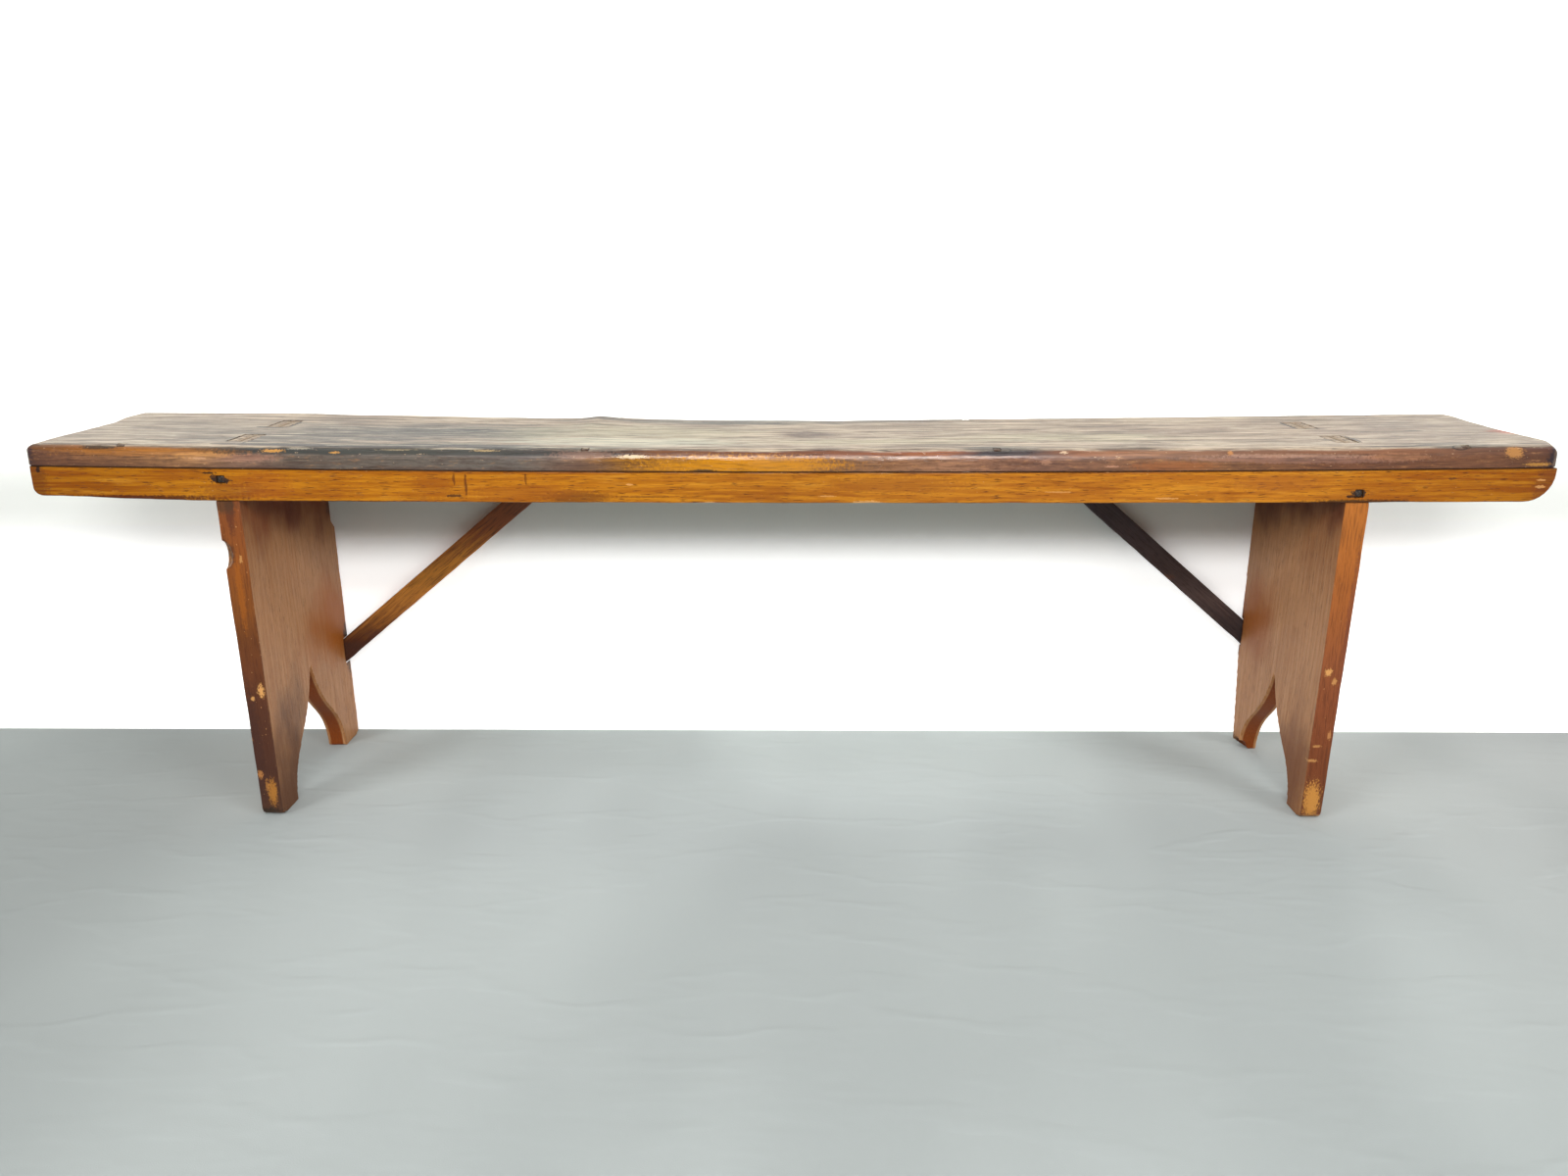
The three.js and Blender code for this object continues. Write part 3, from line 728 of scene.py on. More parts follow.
def brace(name, node, foot, head):
    """A batten between the middles of its two end cuts, given as x and height in metres."""
    low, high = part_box(node)
    run, climb = head[0] - foot[0], head[1] - foot[1]
    middle = ((foot[0] + head[0]) / 2, (low[1] + high[1]) / 2, (foot[1] + head[1]) / 2)
    half = (((run ** 2 + climb ** 2) ** 0.5 + SPARE) / 2, (high[1] - low[1]) / 2, BRACE_WIDTH / 2)
    batten = blank(name, [m - h for m, h in zip(middle, half)],
                   [m + h for m, h in zip(middle, half)])
    round_edges(batten, lambda a, b: abs(a.x - b.x) > 0.1, 1.2 * MM, 2)
    saw(batten, 0, middle[0] - half[0], middle[0] + half[0], 6 * MM)
    saw(batten, 2, middle[2] - half[2], middle[2] + half[2], 5 * MM)
    slope = atan2(climb, abs(run)) * np.sign(run)

    def wear(x, depth, height):
        under = max(0, 1 - (height - (middle[2] - half[2]) / MM) / 6)
        new_height = height + under * (0.8 * ripple(x / 24, 2, np.sign(run)) + 0.5)
        return x, depth + 0.25 * ripple(x / 40, height / 9, 3), new_height

    reshape(batten, wear)
    only(batten)
    bpy.ops.object.mode_set(mode="EDIT")
    bpy.ops.mesh.select_all(action="SELECT")
    bpy.ops.transform.rotate(value=slope, orient_axis="Y", center_override=middle)
    outer = low[0] if run > 0 else high[0]
    for plane, normal in (((outer, 0, 0), (-np.sign(run), 0, 0)), ((0, 0, high[2]), (0, 0, 1))):
        bpy.ops.mesh.select_all(action="SELECT")
        bpy.ops.mesh.bisect(plane_co=plane, plane_no=normal, use_fill=True, clear_outer=True)
    bpy.ops.object.mode_set(mode="OBJECT")
    print(name, "reaches a height of", round(max(v.co.z for v in batten.data.vertices), 4), "m")
    return batten


LEFT_FOOT, LEFT_HEAD = (-0.645, 0.10725), (-0.3032, 0.391)
RIGHT_FOOT, RIGHT_HEAD = (0.645, 0.13765), (0.3482, 0.3911)
left_brace = brace("left_brace_batten", "left_brace", LEFT_FOOT, LEFT_HEAD)
right_brace = brace("right_brace_batten", "right_brace", RIGHT_FOOT, RIGHT_HEAD)

# %% [markdown]
# ## Wedges
# A wedge driven into each tenon from above spreads it in its mortise. It is a blank whose lower
# end is drawn in, with its top rounded over where the mallet struck it.

# %% Tenon wedges
WEDGE_TIP = 0.4
SNUG, WEDGE_SET = 0.5 * MM, 0.3 * MM
wedges = []
for place in TENONS:
    low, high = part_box(place + "_tenon_wedge")
    x, y, _ = middle_of(low, high)
    wedge = blank(place + "_wedge", (low[0] - SNUG, low[1], low[2]),
                  (high[0] + SNUG, high[1], worn_top(x, y) - WEDGE_SET))
    pick(wedge, "VERT", lambda point: point.co.z < low[2] + MM)
    bpy.ops.transform.resize(value=(WEDGE_TIP, 1, 1), center_override=(x, y, low[2]))
    bpy.ops.object.mode_set(mode="OBJECT")
    round_edges(wedge, lambda a, b: min(a.z, b.z) > low[2] + MM, 0.4 * MM, 2)
    saw(wedge, 1, low[1], high[1], 4 * MM)
    wedges.append((wedge, place + "_tenon_wedge"))
print(len(wedges), "wedges driven")

# %% [markdown]
# ## Nails
# The nails are cut from iron plate: a square tapering shank and a head struck into a low pyramid.
# One nail is made by extruding a head downwards, then copied and turned to each place.

# %% One nail and its copies
NAIL_SHANK, NAIL_LENGTH = 4 * MM, 50 * MM
HEAD, HEAD_THICK, RIM_DROP = 8 * MM, 2 * MM, 0.7 * MM
TIP = 0.45


def struck_nail():
    """A nail that stands on its tip at the origin, head up at height 0."""
    nail = blank("nail", (-HEAD / 2, -HEAD / 2, -HEAD_THICK), (HEAD / 2, HEAD / 2, 0))
    pick(nail, "FACE", lambda face: face.normal.z > 0.9)
    bpy.ops.mesh.inset(thickness=2.4 * MM)
    bpy.ops.object.mode_set(mode="OBJECT")
    pick(nail, "FACE", lambda face: face.normal.z < -0.9)
    bpy.ops.mesh.inset(thickness=(HEAD - NAIL_SHANK) / 2)
    shank = {"value": (0, 0, HEAD_THICK - NAIL_LENGTH)}
    bpy.ops.mesh.extrude_region_move(TRANSFORM_OT_translate=shank)
    bpy.ops.transform.resize(value=(TIP, TIP, 1), center_override=(0, 0, -NAIL_LENGTH))
    bpy.ops.object.mode_set(mode="OBJECT")
    for vertex in nail.data.vertices:
        rim = max(abs(vertex.co.x), abs(vertex.co.y)) > HEAD * 0.4
        if rim and vertex.co.z > -MM:
            vertex.co.z -= RIM_DROP
    round_edges(nail, lambda a, b: min(a.z, b.z) > -2.1 * MM, 0.5 * MM, 2)
    return nail


NAIL_TURNS = {"up": (0, 0, 0), "front": (pi / 2, 0, 0), "rear": (-pi / 2, 0, 0)}
first_nail = struck_nail()
nails = []


def drive_nail(node, way):
    """Copies the nail to a solid's place, with its head up, to the front or to the rear."""
    low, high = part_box(node)
    middle = middle_of(low, high)
    head = {"up": nail_top(node), "front": (middle[0], low[1], middle[2]),
            "rear": (middle[0], high[1], middle[2])}[way]
    only(first_nail)
    bpy.ops.object.duplicate()
    nail = bpy.context.object
    nail.name = nail.data.name = node + "_iron"
    nail.rotation_euler = NAIL_TURNS[way]
    nail.location = head
    bpy.ops.object.transform_apply(location=True, rotation=True, scale=True)
    nails.append((nail, node))


for number in range(1, 5):
    drive_nail(f"seat_front_nail_{number}", "up")
    drive_nail(f"seat_rear_nail_{number}", "up")
for side in ("left", "right"):
    drive_nail(f"front_apron_{side}_nail", "front")
    drive_nail(f"rear_apron_{side}_nail", "rear")
    drive_nail(f"{side}_brace_foot_nail", "rear")
bpy.data.objects.remove(first_nail)
print(len(nails), "nails driven")

# %% [markdown]
# ## Honey varnish on the aprons
# The aprons kept most of their old varnish. It is clear and orange, pooled darker in long clouds,
# with fine fibres, short dark resin lines, a knot near the left leg and scratches that show paler
# wood. The marks are listed with the x, depth and height of each middle, its reach along these,
# its tint and how strong it is. Where a colour changes along a board, a list gives its stops.

# %% What the finishes share


def fibres(finish, here, along=0):
    """Fine fibres, long streaks and short dark resin lines, drawn out along one axis."""
    def size(length, width):
        return [length if axis == along else width for axis in range(3)]

    fine = finish.drawn(here, size(34, 1.5), 3, 0.6)
    streak = finish.drawn(here, size(120, 4.5), 4, 0.6)
    resin = finish.drawn(here, size(14, 1.2), 2, 0.5, (7, 3, 9)).rise(0.6, 0.68)
    return fine, streak, resin


def crown(x):
    """How much of its full sag the bench has at x: 1 in the middle and 0 at the ends."""
    return 1 - x * x * (1 / HALF_LENGTH ** 2)


# %% Colours and marks of the aprons
DARK, INK, PALE = (92, 46, 20), (38, 26, 24), (216, 158, 92)
APRON_TONE = [
    (-850, 104, 50, 8), (-760, 128, 70, 10), (-680, 164, 101, 18), (-560, 176, 110, 22),
    (-310, 170, 100, 20), (-160, 184, 116, 24), (-20, 168, 104, 28), (105, 182, 114, 34),
    (390, 182, 112, 36), (540, 190, 120, 38), (690, 154, 88, 24), (850, 112, 58, 18),
]
APRON_STAINS = [
    (-590, 0, 410, 30, 30, 15, (150, 72, 24), 0.4), (-848, 0, 412, 14, 30, 30, DARK, 0.5),
    (-238, 0, 397, 34, 30, 7, DARK, 0.55), (-400, 0, 412, 20, 30, 16, (140, 72, 20), 0.4),
    (-300, 0, 402, 60, 30, 8, (146, 78, 24), 0.4), (120, 0, 412, 70, 30, 9, (150, 88, 30), 0.5),
    (-755, 0, 395.6, 115, 30, 3.4, (74, 32, 18), 0.9), (640, 0, 393.4, 60, 30, 2.6, INK, 0.8),
    (842, 0, 410, 16, 30, 24, (110, 58, 30), 0.6), (540, 0, 414, 50, 30, 8, (160, 92, 34), 0.45),
    (-520, 0, 391.6, 120, 30, 1.6, DARK, 0.8), (-625, 0, 404, 34, 30, 8, (120, 60, 24), 0.45),
]
APRON_NICKS = [
    (-651, 0, 424.5, 8, 30, 1.2, INK, 0.9), (-646, 0, 420, 4, 30, 3, INK, 0.8),
    (-638, 0, 416.2, 11, 30, 3.6, (44, 34, 32), 0.95), (-841, 0, 428, 2.4, 30, 3.4, INK, 0.9),
    (-363.5, 0, 411, 1.5, 30, 13, DARK, 0.8), (-376.5, 0, 418, 1.6, 30, 6, DARK, 0.7),
    (-296, 0, 419, 1.4, 30, 7, DARK, 0.6), (-377, 0, 399, 9, 30, 1.6, INK, 0.7),
    (85, 0, 391.6, 16, 30, 2.4, PALE, 0.95), (-92, 0, 391.2, 7, 30, 1.6, PALE, 0.8),
    (832, 0, 418.5, 5, 30, 1.1, PALE, 0.7), (833, 0, 411, 5, 30, 1.8, PALE, 0.7),
    (626, 0, 399.5, 7, 30, 1.5, INK, 0.9), (420, 0, 397, 12, 30, 1.1, PALE, 0.7),
    (633.5, 0, 403, 8, 30, 4, (40, 36, 34), 0.9), (300, 0, 404, 14, 30, 0.9, PALE, 0.5),
    (-180, 0, 412, 4, 30, 0.9, PALE, 0.8), (40, 0, 399, 9, 30, 1.0, PALE, 0.5),
    (735, 0, 420, 5, 30, 1.2, (90, 52, 26), 0.8), (-165, 0, 398, 30, 30, 1.0, DARK, 0.6),
]

# %% Apron finish
honey = Finish("honey_varnish")
here = honey.place()
x, _, height = honey.parts(here)
fine, streak, resin = fibres(honey, here)
ragged = (honey.cloud(here, 0.3, 4, 0.7) - 0.5) * 2.4
pooled = honey.drawn(here, (80, 14, 11), 4, 0.65)
colour = honey.mix(streak.rise(0.42, 0.58), shade(152, 82, 6), shade(202, 132, 22))
colour = honey.over(
    honey.mix(0.55, colour, honey.ramp(x, -850, 850, APRON_TONE)),
    (pooled.rise(0.52, 0.66) * 0.55, (136, 70, 18)),
    (pooled.rise(0.44, 0.34) * 0.45, (206, 142, 44)),
    (fine.rise(0.5, 0.62) * 0.4, (128, 66, 14)), (resin * 0.75, (92, 46, 16)))
colour = honey.marked(here, ragged, colour, APRON_STAINS)
upper_dirt = (height + crown(x) * SAG + ragged * 0.5).rise(430, 431.6)
lower_dirt = (height + crown(x) * APRON_SAG - ragged * 0.4).rise(395.2, 393.8) * 0.8
colour = honey.over(colour, (upper_dirt.or_more(lower_dirt) * 0.7, (52, 26, 18)))
colour = honey.marked(here, ragged, colour, APRON_NICKS, 0.12)
nick = honey.drawn(here, (7, 3, 1.6), 2).rise(0.72, 0.75)
honey_wood = honey.surface(
    honey.over(colour, (nick * 0.7, (222, 172, 108))), 0.24 + fine * 0.14,
    fine * 0.3 + streak * 0.3 - resin * 0.5 - nick * 0.4, shine=0.2)

# %% [markdown]
# ## Weathered seat
# The top has lost its varnish and is brown to grey, with a slate stain left of the middle. Its
# grain stands up in fine ridges, and the pale tint on them is a painted highlight. The rounded
# front edge still has varnish: golden in the middle, charcoal where hands and knees have stained
# it, brown to the right, with pink streaks of painted reflection. The ends show the rings of the
# tree. So the finish is a top, an edge and an end, and masks that join them: a ragged line at a
# depth of 7 mm, and the attribute that marks the ends.

# %% Colours along the seat
COAL, SLATE, CREAM, GOLD = (30, 30, 30), (36, 42, 44), (170, 164, 132), (206, 146, 66)
RIM = [
    (-850, 104, 66, 36), (-800, 134, 80, 28), (-705, 152, 94, 32), (-645, 80, 58, 36),
    (-600, 48, 50, 48), (-430, 54, 54, 46), (-240, 38, 34, 30), (-200, 40, 26, 14),
    (-160, 106, 58, 16), (0, 106, 54, 16), (180, 136, 68, 16), (215, 42, 33, 36),
    (262, 48, 36, 38), (310, 136, 82, 46), (390, 150, 104, 72), (490, 114, 74, 50),
    (660, 130, 84, 56), (760, 102, 68, 50), (850, 84, 50, 38),
]
FACE = [
    (-850, 84, 54, 42), (-810, 122, 80, 54), (-740, 136, 94, 62), (-680, 174, 126, 82),
    (-610, 144, 112, 92), (-560, 102, 92, 82), (-300, 102, 94, 86), (-240, 120, 90, 70),
    (-180, 154, 102, 30), (-100, 174, 112, 20), (0, 156, 98, 36), (60, 128, 86, 50),
    (170, 156, 112, 84), (270, 124, 86, 68), (450, 138, 94, 60), (600, 112, 70, 46),
    (770, 114, 74, 50), (850, 84, 52, 36),
]
TOP_MARKS = [
    (-440, 115, 452, 190, 66, 60, SLATE, 0.7), (-415, 120, 452, 88, 30, 60, COAL, 0.62),
    (-590, 60, 452, 90, 26, 60, (50, 50, 48), 0.6), (-430, 18, 452, 220, 16, 60, COAL, 0.9),
    (-190, 130, 450, 150, 60, 60, CREAM, 0.4), (-185, 55, 450, 120, 30, 60, (200, 198, 176), 0.55),
    (18, 125, 450, 34, 26, 60, (74, 46, 30), 0.85), (-95, 230, 450, 140, 24, 60, SLATE, 0.7),
    (-250, 258, 450, 30, 14, 60, (50, 54, 54), 0.9), (100, 60, 450, 130, 20, 60, CREAM, 0.35),
    (846, 104, 454, 14, 16, 20, (176, 84, 60), 0.9), (60, 240, 450, 120, 20, 60, SLATE, 0.5),
    (236, 12, 452, 44, 14, 60, COAL, 0.7), (-385, 135, 452, 30, 18, 60, COAL, 0.7),
    (560, 130, 453, 190, 60, 60, (150, 124, 104), 0.3), (748, 12, 456, 60, 14, 60, COAL, 0.6),
    (-720, 110, 455, 120, 90, 60, (110, 98, 84), 0.5), (330, 90, 453, 120, 30, 60, CREAM, 0.4),
    (770, 140, 455, 80, 90, 60, (112, 96, 84), 0.4),
]
SEAT_CRACKS = [
    (-638, 141, 454, 19, 4.2, 9, INK, 0.95), (-619, 164, 454, 3.2, 24, 9, INK, 0.95),
    (-620, 44, 455, 2.6, 20, 9, INK, 0.7), (-640, 20, 455, 15, 3, 9, INK, 0.7),
    (618, 170, 454, 2.8, 27, 9, INK, 0.95), (635, 140, 454, 18, 3.6, 9, INK, 0.85),
    (620, 62, 455, 2, 25, 9, INK, 0.8), (648, 62, 455, 2.2, 25, 9, INK, 0.85),
    (746, 118, 455, 12, 4, 9, INK, 0.7), (281, 262, 450, 24, 5, 20, COAL, 0.9),
]
# Most of these are stains. The pink and salmon ones at x -656, -606, -228 and 560 are painted
# reflection on the varnish of the nose.
EDGE_STAINS_AND_REFLECTIONS = [
    (-55, 0, 434, 104, 12, 10, (204, 134, 10), 0.8), (-770, 3, 453, 22, 9, 3, (40, 36, 28), 0.85),
    (-712, 1, 447, 95, 12, 4, (176, 112, 44), 0.42),
    (-606, 1, 441, 34, 12, 4, (180, 130, 108), 0.4),
    (-656, 1, 444, 32, 12, 3.2, (208, 150, 86), 0.45),
    (-228, 1, 445, 34, 12, 4, (172, 124, 98), 0.35), (845, 1, 441, 9, 12, 13, (28, 28, 42), 0.85),
    (-390, 3, 453, 150, 9, 2.4, (26, 24, 26), 0.8), (425, 1, 433.5, 46, 9, 5, (160, 92, 44), 0.5),
    (560, 1, 441, 120, 9, 4, (150, 112, 98), 0.5), (668, 1, 444, 36, 9, 4, (160, 110, 76), 0.5),
    (-854, 6, 446, 8, 20, 14, (48, 36, 46), 0.7), (-98, 0, 427.8, 14, 9, 1.3, (40, 36, 20), 0.85),
    (-236, 1, 432, 34, 12, 4, (92, 68, 56), 0.6), (560, 2, 445, 80, 9, 2, (190, 150, 124), 0.35),
]
EDGE_CHIPS = [
    (-577, 2, 449, 12, 9, 1.5, GOLD, 0.9), (-548, 4, 451.5, 13, 9, 1.2, (190, 178, 156), 0.6),
    (-507, 2, 447.4, 5, 9, 1.1, GOLD, 0.8), (799, 2, 450, 9, 9, 7, (170, 118, 62), 0.95),
    (826, 1, 436, 14, 9, 1.8, (180, 128, 58), 0.8),
    (-176, 2, 443, 15, 9, 1.9, (232, 200, 158), 0.7),
    (303, 1, 448, 4, 9, 1.4, (226, 196, 160), 0.7), (356, 1, 433, 9, 9, 0.9, (206, 150, 120), 0.6),
    (487, 1, 448, 3, 9, 2.2, (196, 130, 64), 0.7), (283, 1, 438, 6, 9, 3, (190, 140, 110), 0.4),
    (-340, 2, 449, 14, 9, 0.9, (190, 160, 110), 0.7),
    (-440, 2, 450, 22, 9, 0.8, (180, 160, 120), 0.6),
    (405, 3, 451, 8, 9, 1.2, (214, 160, 100), 0.7), (-660, 1, 441, 9, 9, 1, (214, 166, 130), 0.5),
]

# %% Seat finish: the top
worn = Finish("weathered_seat")
here = worn.place()
x, depth, height = worn.parts(here)
fine, streak, _ = fibres(worn, here)
ragged = (worn.cloud(here, 0.28, 4, 0.7) - 0.5) * 2.4
drawn_rag = (worn.drawn(here, (70, 7, 9), 4, 0.65) - 0.5) * 3.4
bands = worn.drawn(here, (120, 12, 12), 6, 0.72)
blotch = worn.drawn(here, (110, 40, 45))
grain = worn.drawn(here, (70, 4.5, 5), 4, 0.7, (5, 2, 7))
crack = worn.drawn(here, (45, 4, 4), 2, shift=(3, 8, 1)).rise(0.66, 0.7)
top = worn.mix(bands.rise(0.38, 0.62), shade(102, 82, 66), shade(188, 168, 144))
top = worn.over(top, (blotch.rise(0.48, 0.66) * 0.4, (98, 78, 62)))
top = worn.marked(here, drawn_rag, top, TOP_MARKS, 0.5)
# The pale tint on the ridges of the grain is a painted highlight.
top = worn.over(top, (grain.rise(0.54, 0.66) * 0.55, (222, 208, 182)),
                (grain.rise(0.47, 0.36) * 0.6, (56, 42, 32)), (crack * 0.8, (30, 24, 20)))
top = worn.marked(here, ragged * 0.3, top, SEAT_CRACKS, 0.1)

# %% Seat finish: the front edge
level = height + crown(x) * SAG
wander = x + (bands - 0.5) * 70
mottle = worn.drawn(here, (16, 7, 3.5), 5, 0.75)
face = worn.over(
    worn.ramp(wander, -850, 850, FACE),
    (level.rise(442, 435) * x.rise(-500, -570) * 0.45, (70, 44, 38)),
    (streak.rise(0.48, 0.62) * 0.4, (76, 46, 32)), (mottle.rise(0.5, 0.6) * 0.4, (62, 42, 38)),
    (mottle.rise(0.44, 0.34) * 0.4, (196, 140, 86)))
rim = worn.ramp(wander, -850, 850, RIM)
edge = worn.mix((level + (streak - 0.5) * 8).rise(448, 450.5), face, rim)
edge = worn.over(
    worn.marked(here, ragged, edge, EDGE_STAINS_AND_REFLECTIONS),
    (fine.rise(0.5, 0.62) * 0.4, (58, 36, 26)),
    ((level + ragged * 0.4).rise(434, 432.6) * 0.8, (34, 22, 20)))
splintered = (worn.cloud(worn.scaled(here, (0.35, 0.6, 0.8)), 1, 4, 0.8) - 0.5) * 4
edge = worn.marked(here, splintered, edge, EDGE_CHIPS, 0.1)
chip = worn.drawn(here, (5, 3, 1.6), 2).rise(0.71, 0.74)
edge = worn.over(edge, (chip * 0.7, (214, 180, 140)))
front = (depth + (bands - 0.5) * 7).rise(8, 5)

# %% Seat finish: the ends, the nail holes, the underside and the gloss
end_share = worn.node("ShaderNodeAttribute", {"attribute_name": "end_share"}, out=2)
from_pith = worn.scaled(here, (0.01, 0.24, 0.3), (0, -28, -104))
rings = worn.length(from_pith) + ragged * 0.5
rings = rings.math("SINE", rings * 2.2, 0.0).rise(-1, 1)
end_wood = worn.mix(rings * 0.6, shade(104, 76, 54), shade(58, 40, 30))
end_wood = worn.over(end_wood, (blotch.rise(0.45, 0.65) * 0.5, (48, 34, 30)))
colour = worn.mix(end_share.rise(0.25, 0.75), worn.mix(front, top, edge), end_wood)
for place in (236.5, 741.5):  # a dark ring round each nail hole that shows in the rim
    hole = (place, 7, seat_top(place, 8))
    ring = (worn.spot(here, hole, (9.5, 6, 5), ragged * 0.1, 0.05)
            - worn.spot(here, hole, (7.6, 4.4, 3.6), ragged * 0.1, 0.05))
    colour = worn.over(colour, (ring * 0.8, (34, 26, 22)))
colour = worn.mix(level.rise(433, 431), colour,
                  worn.mix(streak, shade(96, 66, 44), shade(132, 94, 62)))
polish = front * (1 - end_share)
dull = worn.drawn(here, (40, 40, 9)).rise(0.42, 0.6)
varnish = wander.rise(-250, -190) * wander.rise(300, 230) * (
    0.21 - dull * 0.1 - wander.rise(-90, 10) * wander.rise(120, 80) * 0.16)
relief = (fine * 0.25 - crack * 0.6 + rings * end_share * 0.3
          + (bands + grain * 0.6) * (1 - polish * 0.85))
worn_wood = worn.surface(colour, 0.44 + fine * 0.14 - polish * (varnish + 0.14), relief,
                         depth=0.0013)

# %% [markdown]
# ## Legs and braces
# The legs have the same varnish as the aprons, browner, and upright grain, under a pale veil that
# is dust and a painted sheen of the white wall. Soft patches lie on them: painted shade under the
# aprons, partly a stain; a painted reflection near each brace's foot, where the brace and not the
# wall is mirrored; and darker wood low at the front feet. Shadow is painted into the notches that
# hold the braces. Their front edges go from orange under the seat to a nearly black red at the
# floor, where shoes and mops have hit them, and bare pale wood shows in the chips. The left brace
# is brown, painted darker near its head where the seat shades it; the right one is nearly black.

# %% Colours and marks of the legs
LEG_STAINS_AND_NOTCH_SHADOWS = [
    (-638, 2, 4, 16, 14, 7, (48, 38, 28), 0.85), (-634, 2, 385, 5, 6, 30, (88, 48, 34), 0.7),
    (-634, 2, 286, 4, 6, 44, (166, 92, 26), 0.5), (-642, 2, 90, 9, 8, 70, (66, 40, 34), 0.6),
    (644, 2, 240, 3, 6, 90, (110, 60, 46), 0.5), (-645, 2, 330, 10, 12, 14, (60, 42, 36), 0.7),
    # The two INK marks near the rear edge, at heights of 130 and 160, are painted shadow in the
    # notches that hold the braces.
    (-640, 2, 386, 14, 14, 8, (70, 56, 40), 0.6), (-618, 254, 130, 12, 9, 34, INK, 0.9),
    (622, 250, 160, 12, 9, 34, INK, 0.8), (634, 232, 8, 20, 14, 15, (50, 30, 22), 0.75),
    (-650, 248, 330, 40, 12, 12, (54, 34, 24), 0.7),
    (-621, 250, 380, 9, 20, 40, (46, 28, 20), 0.7),
]
# A deeper orange near each brace's foot is painted reflection, where the brace and not the white
# wall is mirrored. The dark patches at the top are partly a stain and partly painted shade under
# the aprons. The front feet are darker low down.
LEG_PAINTED_LIGHT_AND_TONES = [
    (-620, 218, 172, 9, 74, 52, (156, 84, 18), 0.9),
    (620, 218, 192, 9, 66, 50, (146, 78, 24), 0.85),
    (-620, 50, 20, 9, 50, 100, (82, 44, 22), 0.85), (620, 50, 14, 9, 50, 80, (112, 64, 36), 0.8),
    (-621, 60, 414, 9, 95, 70, (104, 38, 2), 0.9), (-621, 215, 384, 9, 85, 66, (98, 38, 4), 0.85),
    (621, 60, 414, 9, 95, 60, (80, 24, 0), 0.9), (621, 215, 384, 9, 85, 60, (78, 28, 6), 0.85),
]
LEG_CHIPS = [
    (-626, 2, 163, 3.2, 9, 8, PALE, 0.95), (-637, 2, 153, 2.2, 9, 2.6, PALE, 0.8),
    (-628, 2, 31, 5, 12, 16, (184, 122, 50), 0.75), (-628.5, 2, 324, 1.6, 6, 4, PALE, 0.6),
    (630, 2, 24, 9, 12, 23, (200, 138, 64), 0.85), (629, 2, 190, 4, 9, 4.4, PALE, 0.9),
    (637, 2, 178, 2.6, 9, 4, PALE, 0.6), (623, 2, 77, 6, 9, 1.8, PALE, 0.6),
    (627, 2, 96, 5, 9, 1.5, PALE, 0.5), (-640, 2, 55, 3, 9, 5, (190, 128, 70), 0.7),
    (-646, 2, 100, 2, 9, 4, (190, 128, 70), 0.6), (640, 2, 110, 2, 9, 5, (200, 140, 84), 0.6),
    (-634, 2, 40, 2, 9, 8, (180, 120, 60), 0.6),
]
LEFT_EDGE = [
    (0, 78, 52, 38), (60, 76, 46, 34), (140, 86, 50, 34), (190, 104, 58, 32), (225, 106, 60, 30),
    (262, 126, 72, 30), (330, 140, 78, 34), (390, 128, 70, 36),
]
RIGHT_EDGE = [
    (0, 104, 58, 36), (60, 116, 62, 34), (140, 130, 70, 40), (200, 142, 80, 46),
    (300, 164, 94, 42), (390, 178, 106, 44),
]

# %% Leg finish
EDGE_TOP = 390
brown = Finish("brown_varnish")
here = brown.place()
x, depth, height = brown.parts(here)
fine, streak, resin = fibres(brown, here, along=2)
ragged = (brown.cloud(here, 0.28, 4, 0.7) - 0.5) * 2.2
splintered = (brown.cloud(brown.scaled(here, (0.7, 0.7, 0.3)), 1, 4, 0.8) - 0.5) * 4
misty = (brown.drawn(here, (50, 50, 70)) - 0.5) * 2
patches = brown.drawn(here, (40, 40, 110), 4, 0.6)
# The pale greyish base is dust and a painted sheen, the white wall mirrored in the varnish. Higher
# up a deeper brown takes over: painted shade, where the faces mirror the wall in the seat's
# shadow.
colour = brown.over(
    brown.mix(streak.rise(0.36, 0.64), shade(168, 114, 70), shade(182, 131, 87)),
    (height.rise(270, 390) * 0.4, (136, 82, 42)), (patches.rise(0.5, 0.68) * 0.35, (148, 94, 54)),
    (fine.rise(0.5, 0.64) * 0.2, (112, 68, 40)), (resin * 0.4, (60, 34, 24)))
colour = brown.marked(here, misty, colour, LEG_PAINTED_LIGHT_AND_TONES, 0.6)
wide = x.math("ABSOLUTE", x, 0.0)
sawn = wide.rise(622.5, 624.5) * wide.rise(641, 639) * depth.rise(20, 24)
colour = brown.mix(sawn * 0.95, colour, brown.mix(fine, shade(98, 40, 4), shade(146, 68, 14)))
edges = brown.mix(x.rise(-1, 1), brown.ramp(height, 0, EDGE_TOP, LEFT_EDGE),
                  brown.ramp(height, 0, EDGE_TOP, RIGHT_EDGE))
edges = brown.over(edges, (fine.rise(0.48, 0.62) * 0.4, (70, 36, 24)))
front = (depth + ragged * 0.8).rise(4.6, 3.2)
colour = brown.marked(here, ragged, brown.mix(front, colour, edges), LEG_STAINS_AND_NOTCH_SHADOWS)
colour = brown.marked(here, splintered, colour, LEG_CHIPS, 0.1)
nick = brown.drawn(here, (2.5, 2.5, 5), 2).rise(0.71, 0.74)
colour = brown.over(colour, (nick * (front * 0.6 + 0.1), (220, 160, 100)))
tenon = brown.drawn(here, (60, 4, 9), 4).rise(0.4, 0.6)
tenon_wood = brown.mix(tenon, shade(104, 84, 64), shade(168, 146, 120))
brown_wood = brown.surface(
    brown.mix(height.rise(436, 442), colour, tenon_wood), 0.4 + fine * 0.12,
    fine * 0.25 + streak * 0.25 - resin * 0.4 - nick * 0.3, shine=0.2)

# %% Brace finishes


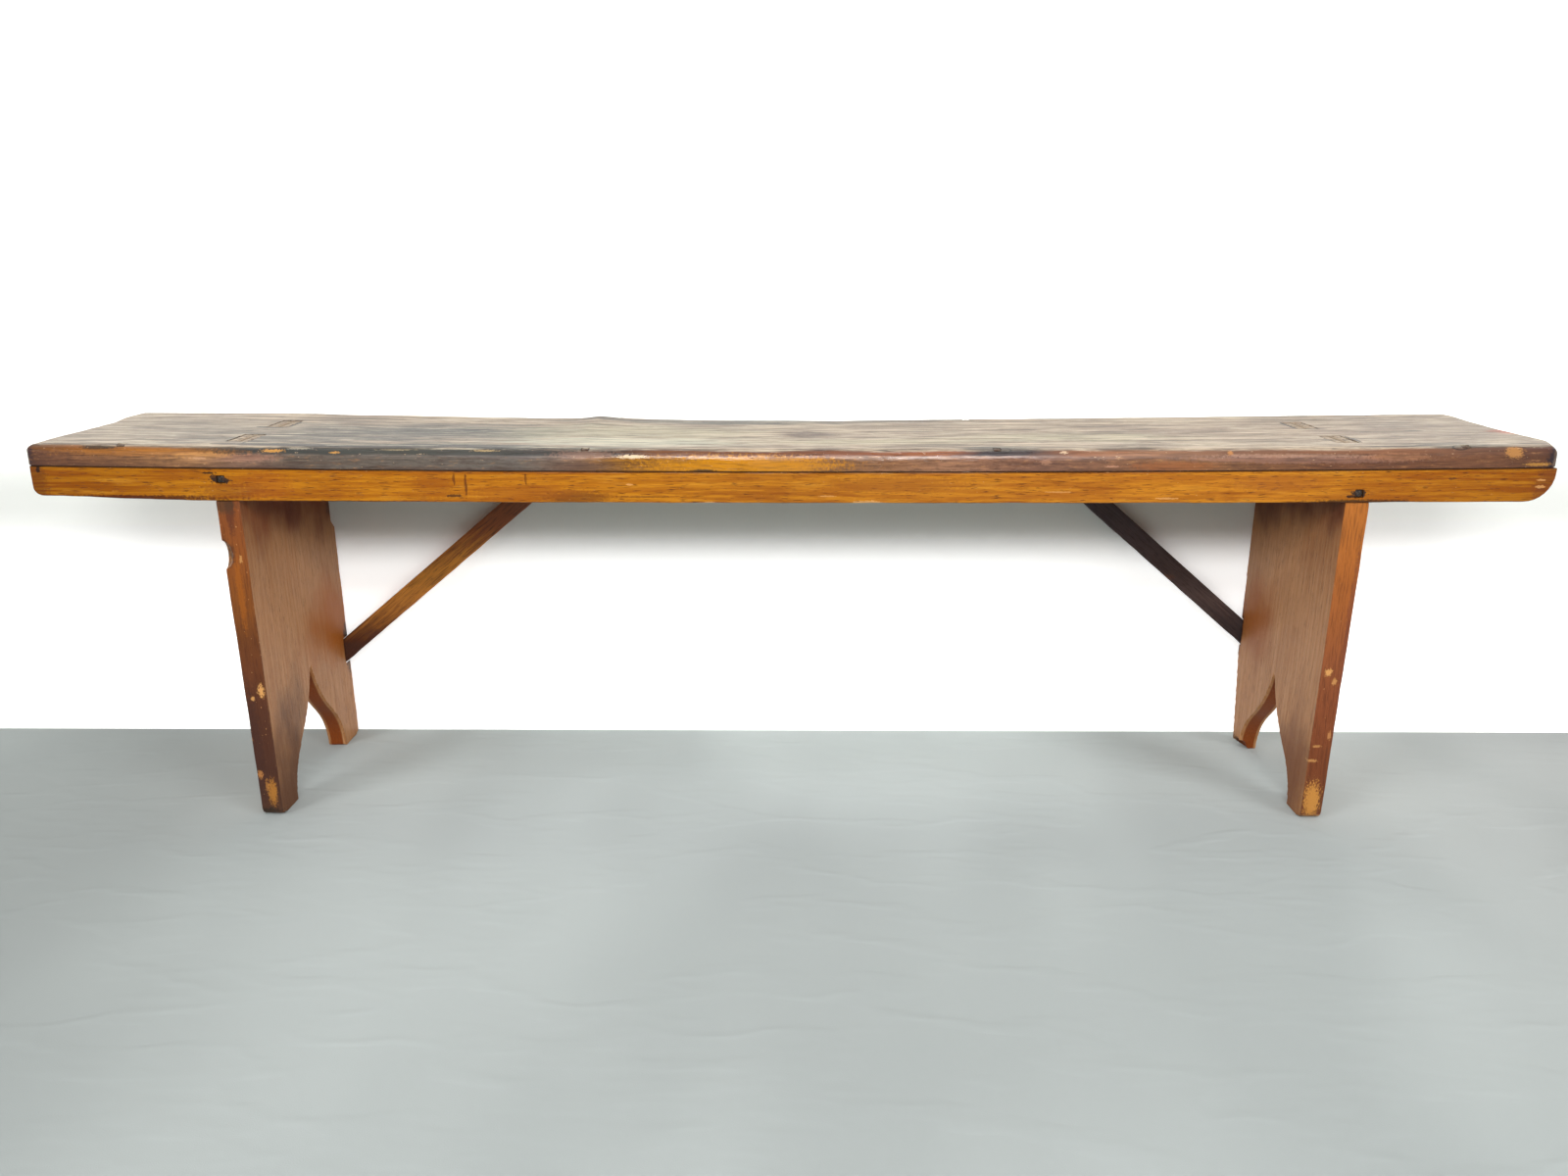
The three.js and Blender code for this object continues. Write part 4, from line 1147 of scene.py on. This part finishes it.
def brace_finish(name, slope, stops, rough, marks):
    """Wood whose grain follows a brace, with colours that follow its height."""
    finish = Finish(name)
    here = finish.place()
    turned = finish.node("ShaderNodeVectorRotate", {"rotation_type": "Y_AXIS"},
                         {"Vector": here, "Angle": slope})
    fine, streak, resin = fibres(finish, turned)
    ragged = (finish.cloud(here, 0.35, 4, 0.65) - 0.5) * 2
    colour = finish.over(
        finish.ramp(finish.parts(here)[2] + (streak - 0.5) * 90, 80, 400, stops),
        (fine.rise(0.48, 0.62) * 0.45, (46, 24, 16)), (resin * 0.6, (36, 20, 18)))
    return finish.surface(finish.marked(here, ragged, colour, marks), rough + fine * 0.15,
                          fine * 0.5 + streak * 0.5 - resin * 0.4, shine=0.4)


left_slope = atan2(LEFT_HEAD[1] - LEFT_FOOT[1], LEFT_HEAD[0] - LEFT_FOOT[0])
right_slope = atan2(RIGHT_HEAD[1] - RIGHT_FOOT[1], RIGHT_FOOT[0] - RIGHT_HEAD[0])
# The left brace's colour darkens from a height of 240 up: painted shade under the seat.
left_brace_wood = brace_finish(
    "left_brace_varnish", left_slope,
    [(80, 66, 30, 10), (145, 82, 40, 14), (190, 176, 110, 42), (240, 212, 138, 50),
     (300, 146, 78, 32), (400, 104, 54, 24)], 0.42,
    [(-600, 245, 128, 26, 20, 12, (66, 36, 26), 0.7),
     (-570, 245, 150, 16, 20, 9, (74, 40, 34), 0.6)])
right_brace_wood = brace_finish(
    "right_brace_black", -right_slope,
    [(80, 40, 30, 30), (160, 50, 38, 38), (205, 84, 66, 62), (300, 72, 55, 56),
     (400, 36, 22, 24)], 0.5, [(500, 245, 236, 20, 20, 4, (110, 70, 50), 0.6)])

# %% Wedge and iron finish
end_grain = Finish("wedge_end_grain")
speck = end_grain.cloud(end_grain.place(), 0.9, 4, 0.7)
colour = end_grain.mix(speck.rise(0.3, 0.7), shade(112, 92, 72), shade(168, 146, 120))
wedge_wood = end_grain.surface(colour, 0.6 + speck * 0.2, speck)
iron = Finish("rusty_iron")
here = iron.place()
speck = iron.cloud(here, 0.5, 5, 0.65)
rust = iron.cloud(here, 0.22, 4, 0.6).rise(0.45, 0.62)
colour = iron.over(
    iron.mix(speck.rise(0.4, 0.6), shade(24, 20, 18), shade(66, 58, 52)),
    (iron.parts(here)[2].rise(440, 442) * 0.8, (104, 86, 70)), (rust * 0.7, (74, 46, 34)))
iron_skin = iron.surface(colour, 0.5 + rust * 0.3, speck, depth=0.0004, shine=0.3)

# %% [markdown]
# ## Hand the pieces over
# Every piece now gets its finish, and the solids that it stands for are hidden.

# %% Finish every piece
finish_piece(seat_board, worn_wood, "seat", "seat_plank")
finish_piece(front_apron, honey_wood, "apron", "front_apron")
finish_piece(rear_apron, honey_wood, "apron", "rear_apron")
finish_piece(left_leg, brown_wood, "leg", "left_leg")
finish_piece(right_leg, brown_wood, "leg", "right_leg")
finish_piece(left_brace, left_brace_wood, "left_brace", "left_brace")
finish_piece(right_brace, right_brace_wood, "right_brace", "right_brace")
for wedge, node in wedges:
    finish_piece(wedge, wedge_wood, "wedge", node)
for nail, node in nails:
    finish_piece(nail, iron_skin, "nail", node)
for node in ("left_brace_head_nail", "right_brace_head_nail"):
    for material_slot in bpy.data.objects[node].material_slots:
        material_slot.material = iron_skin
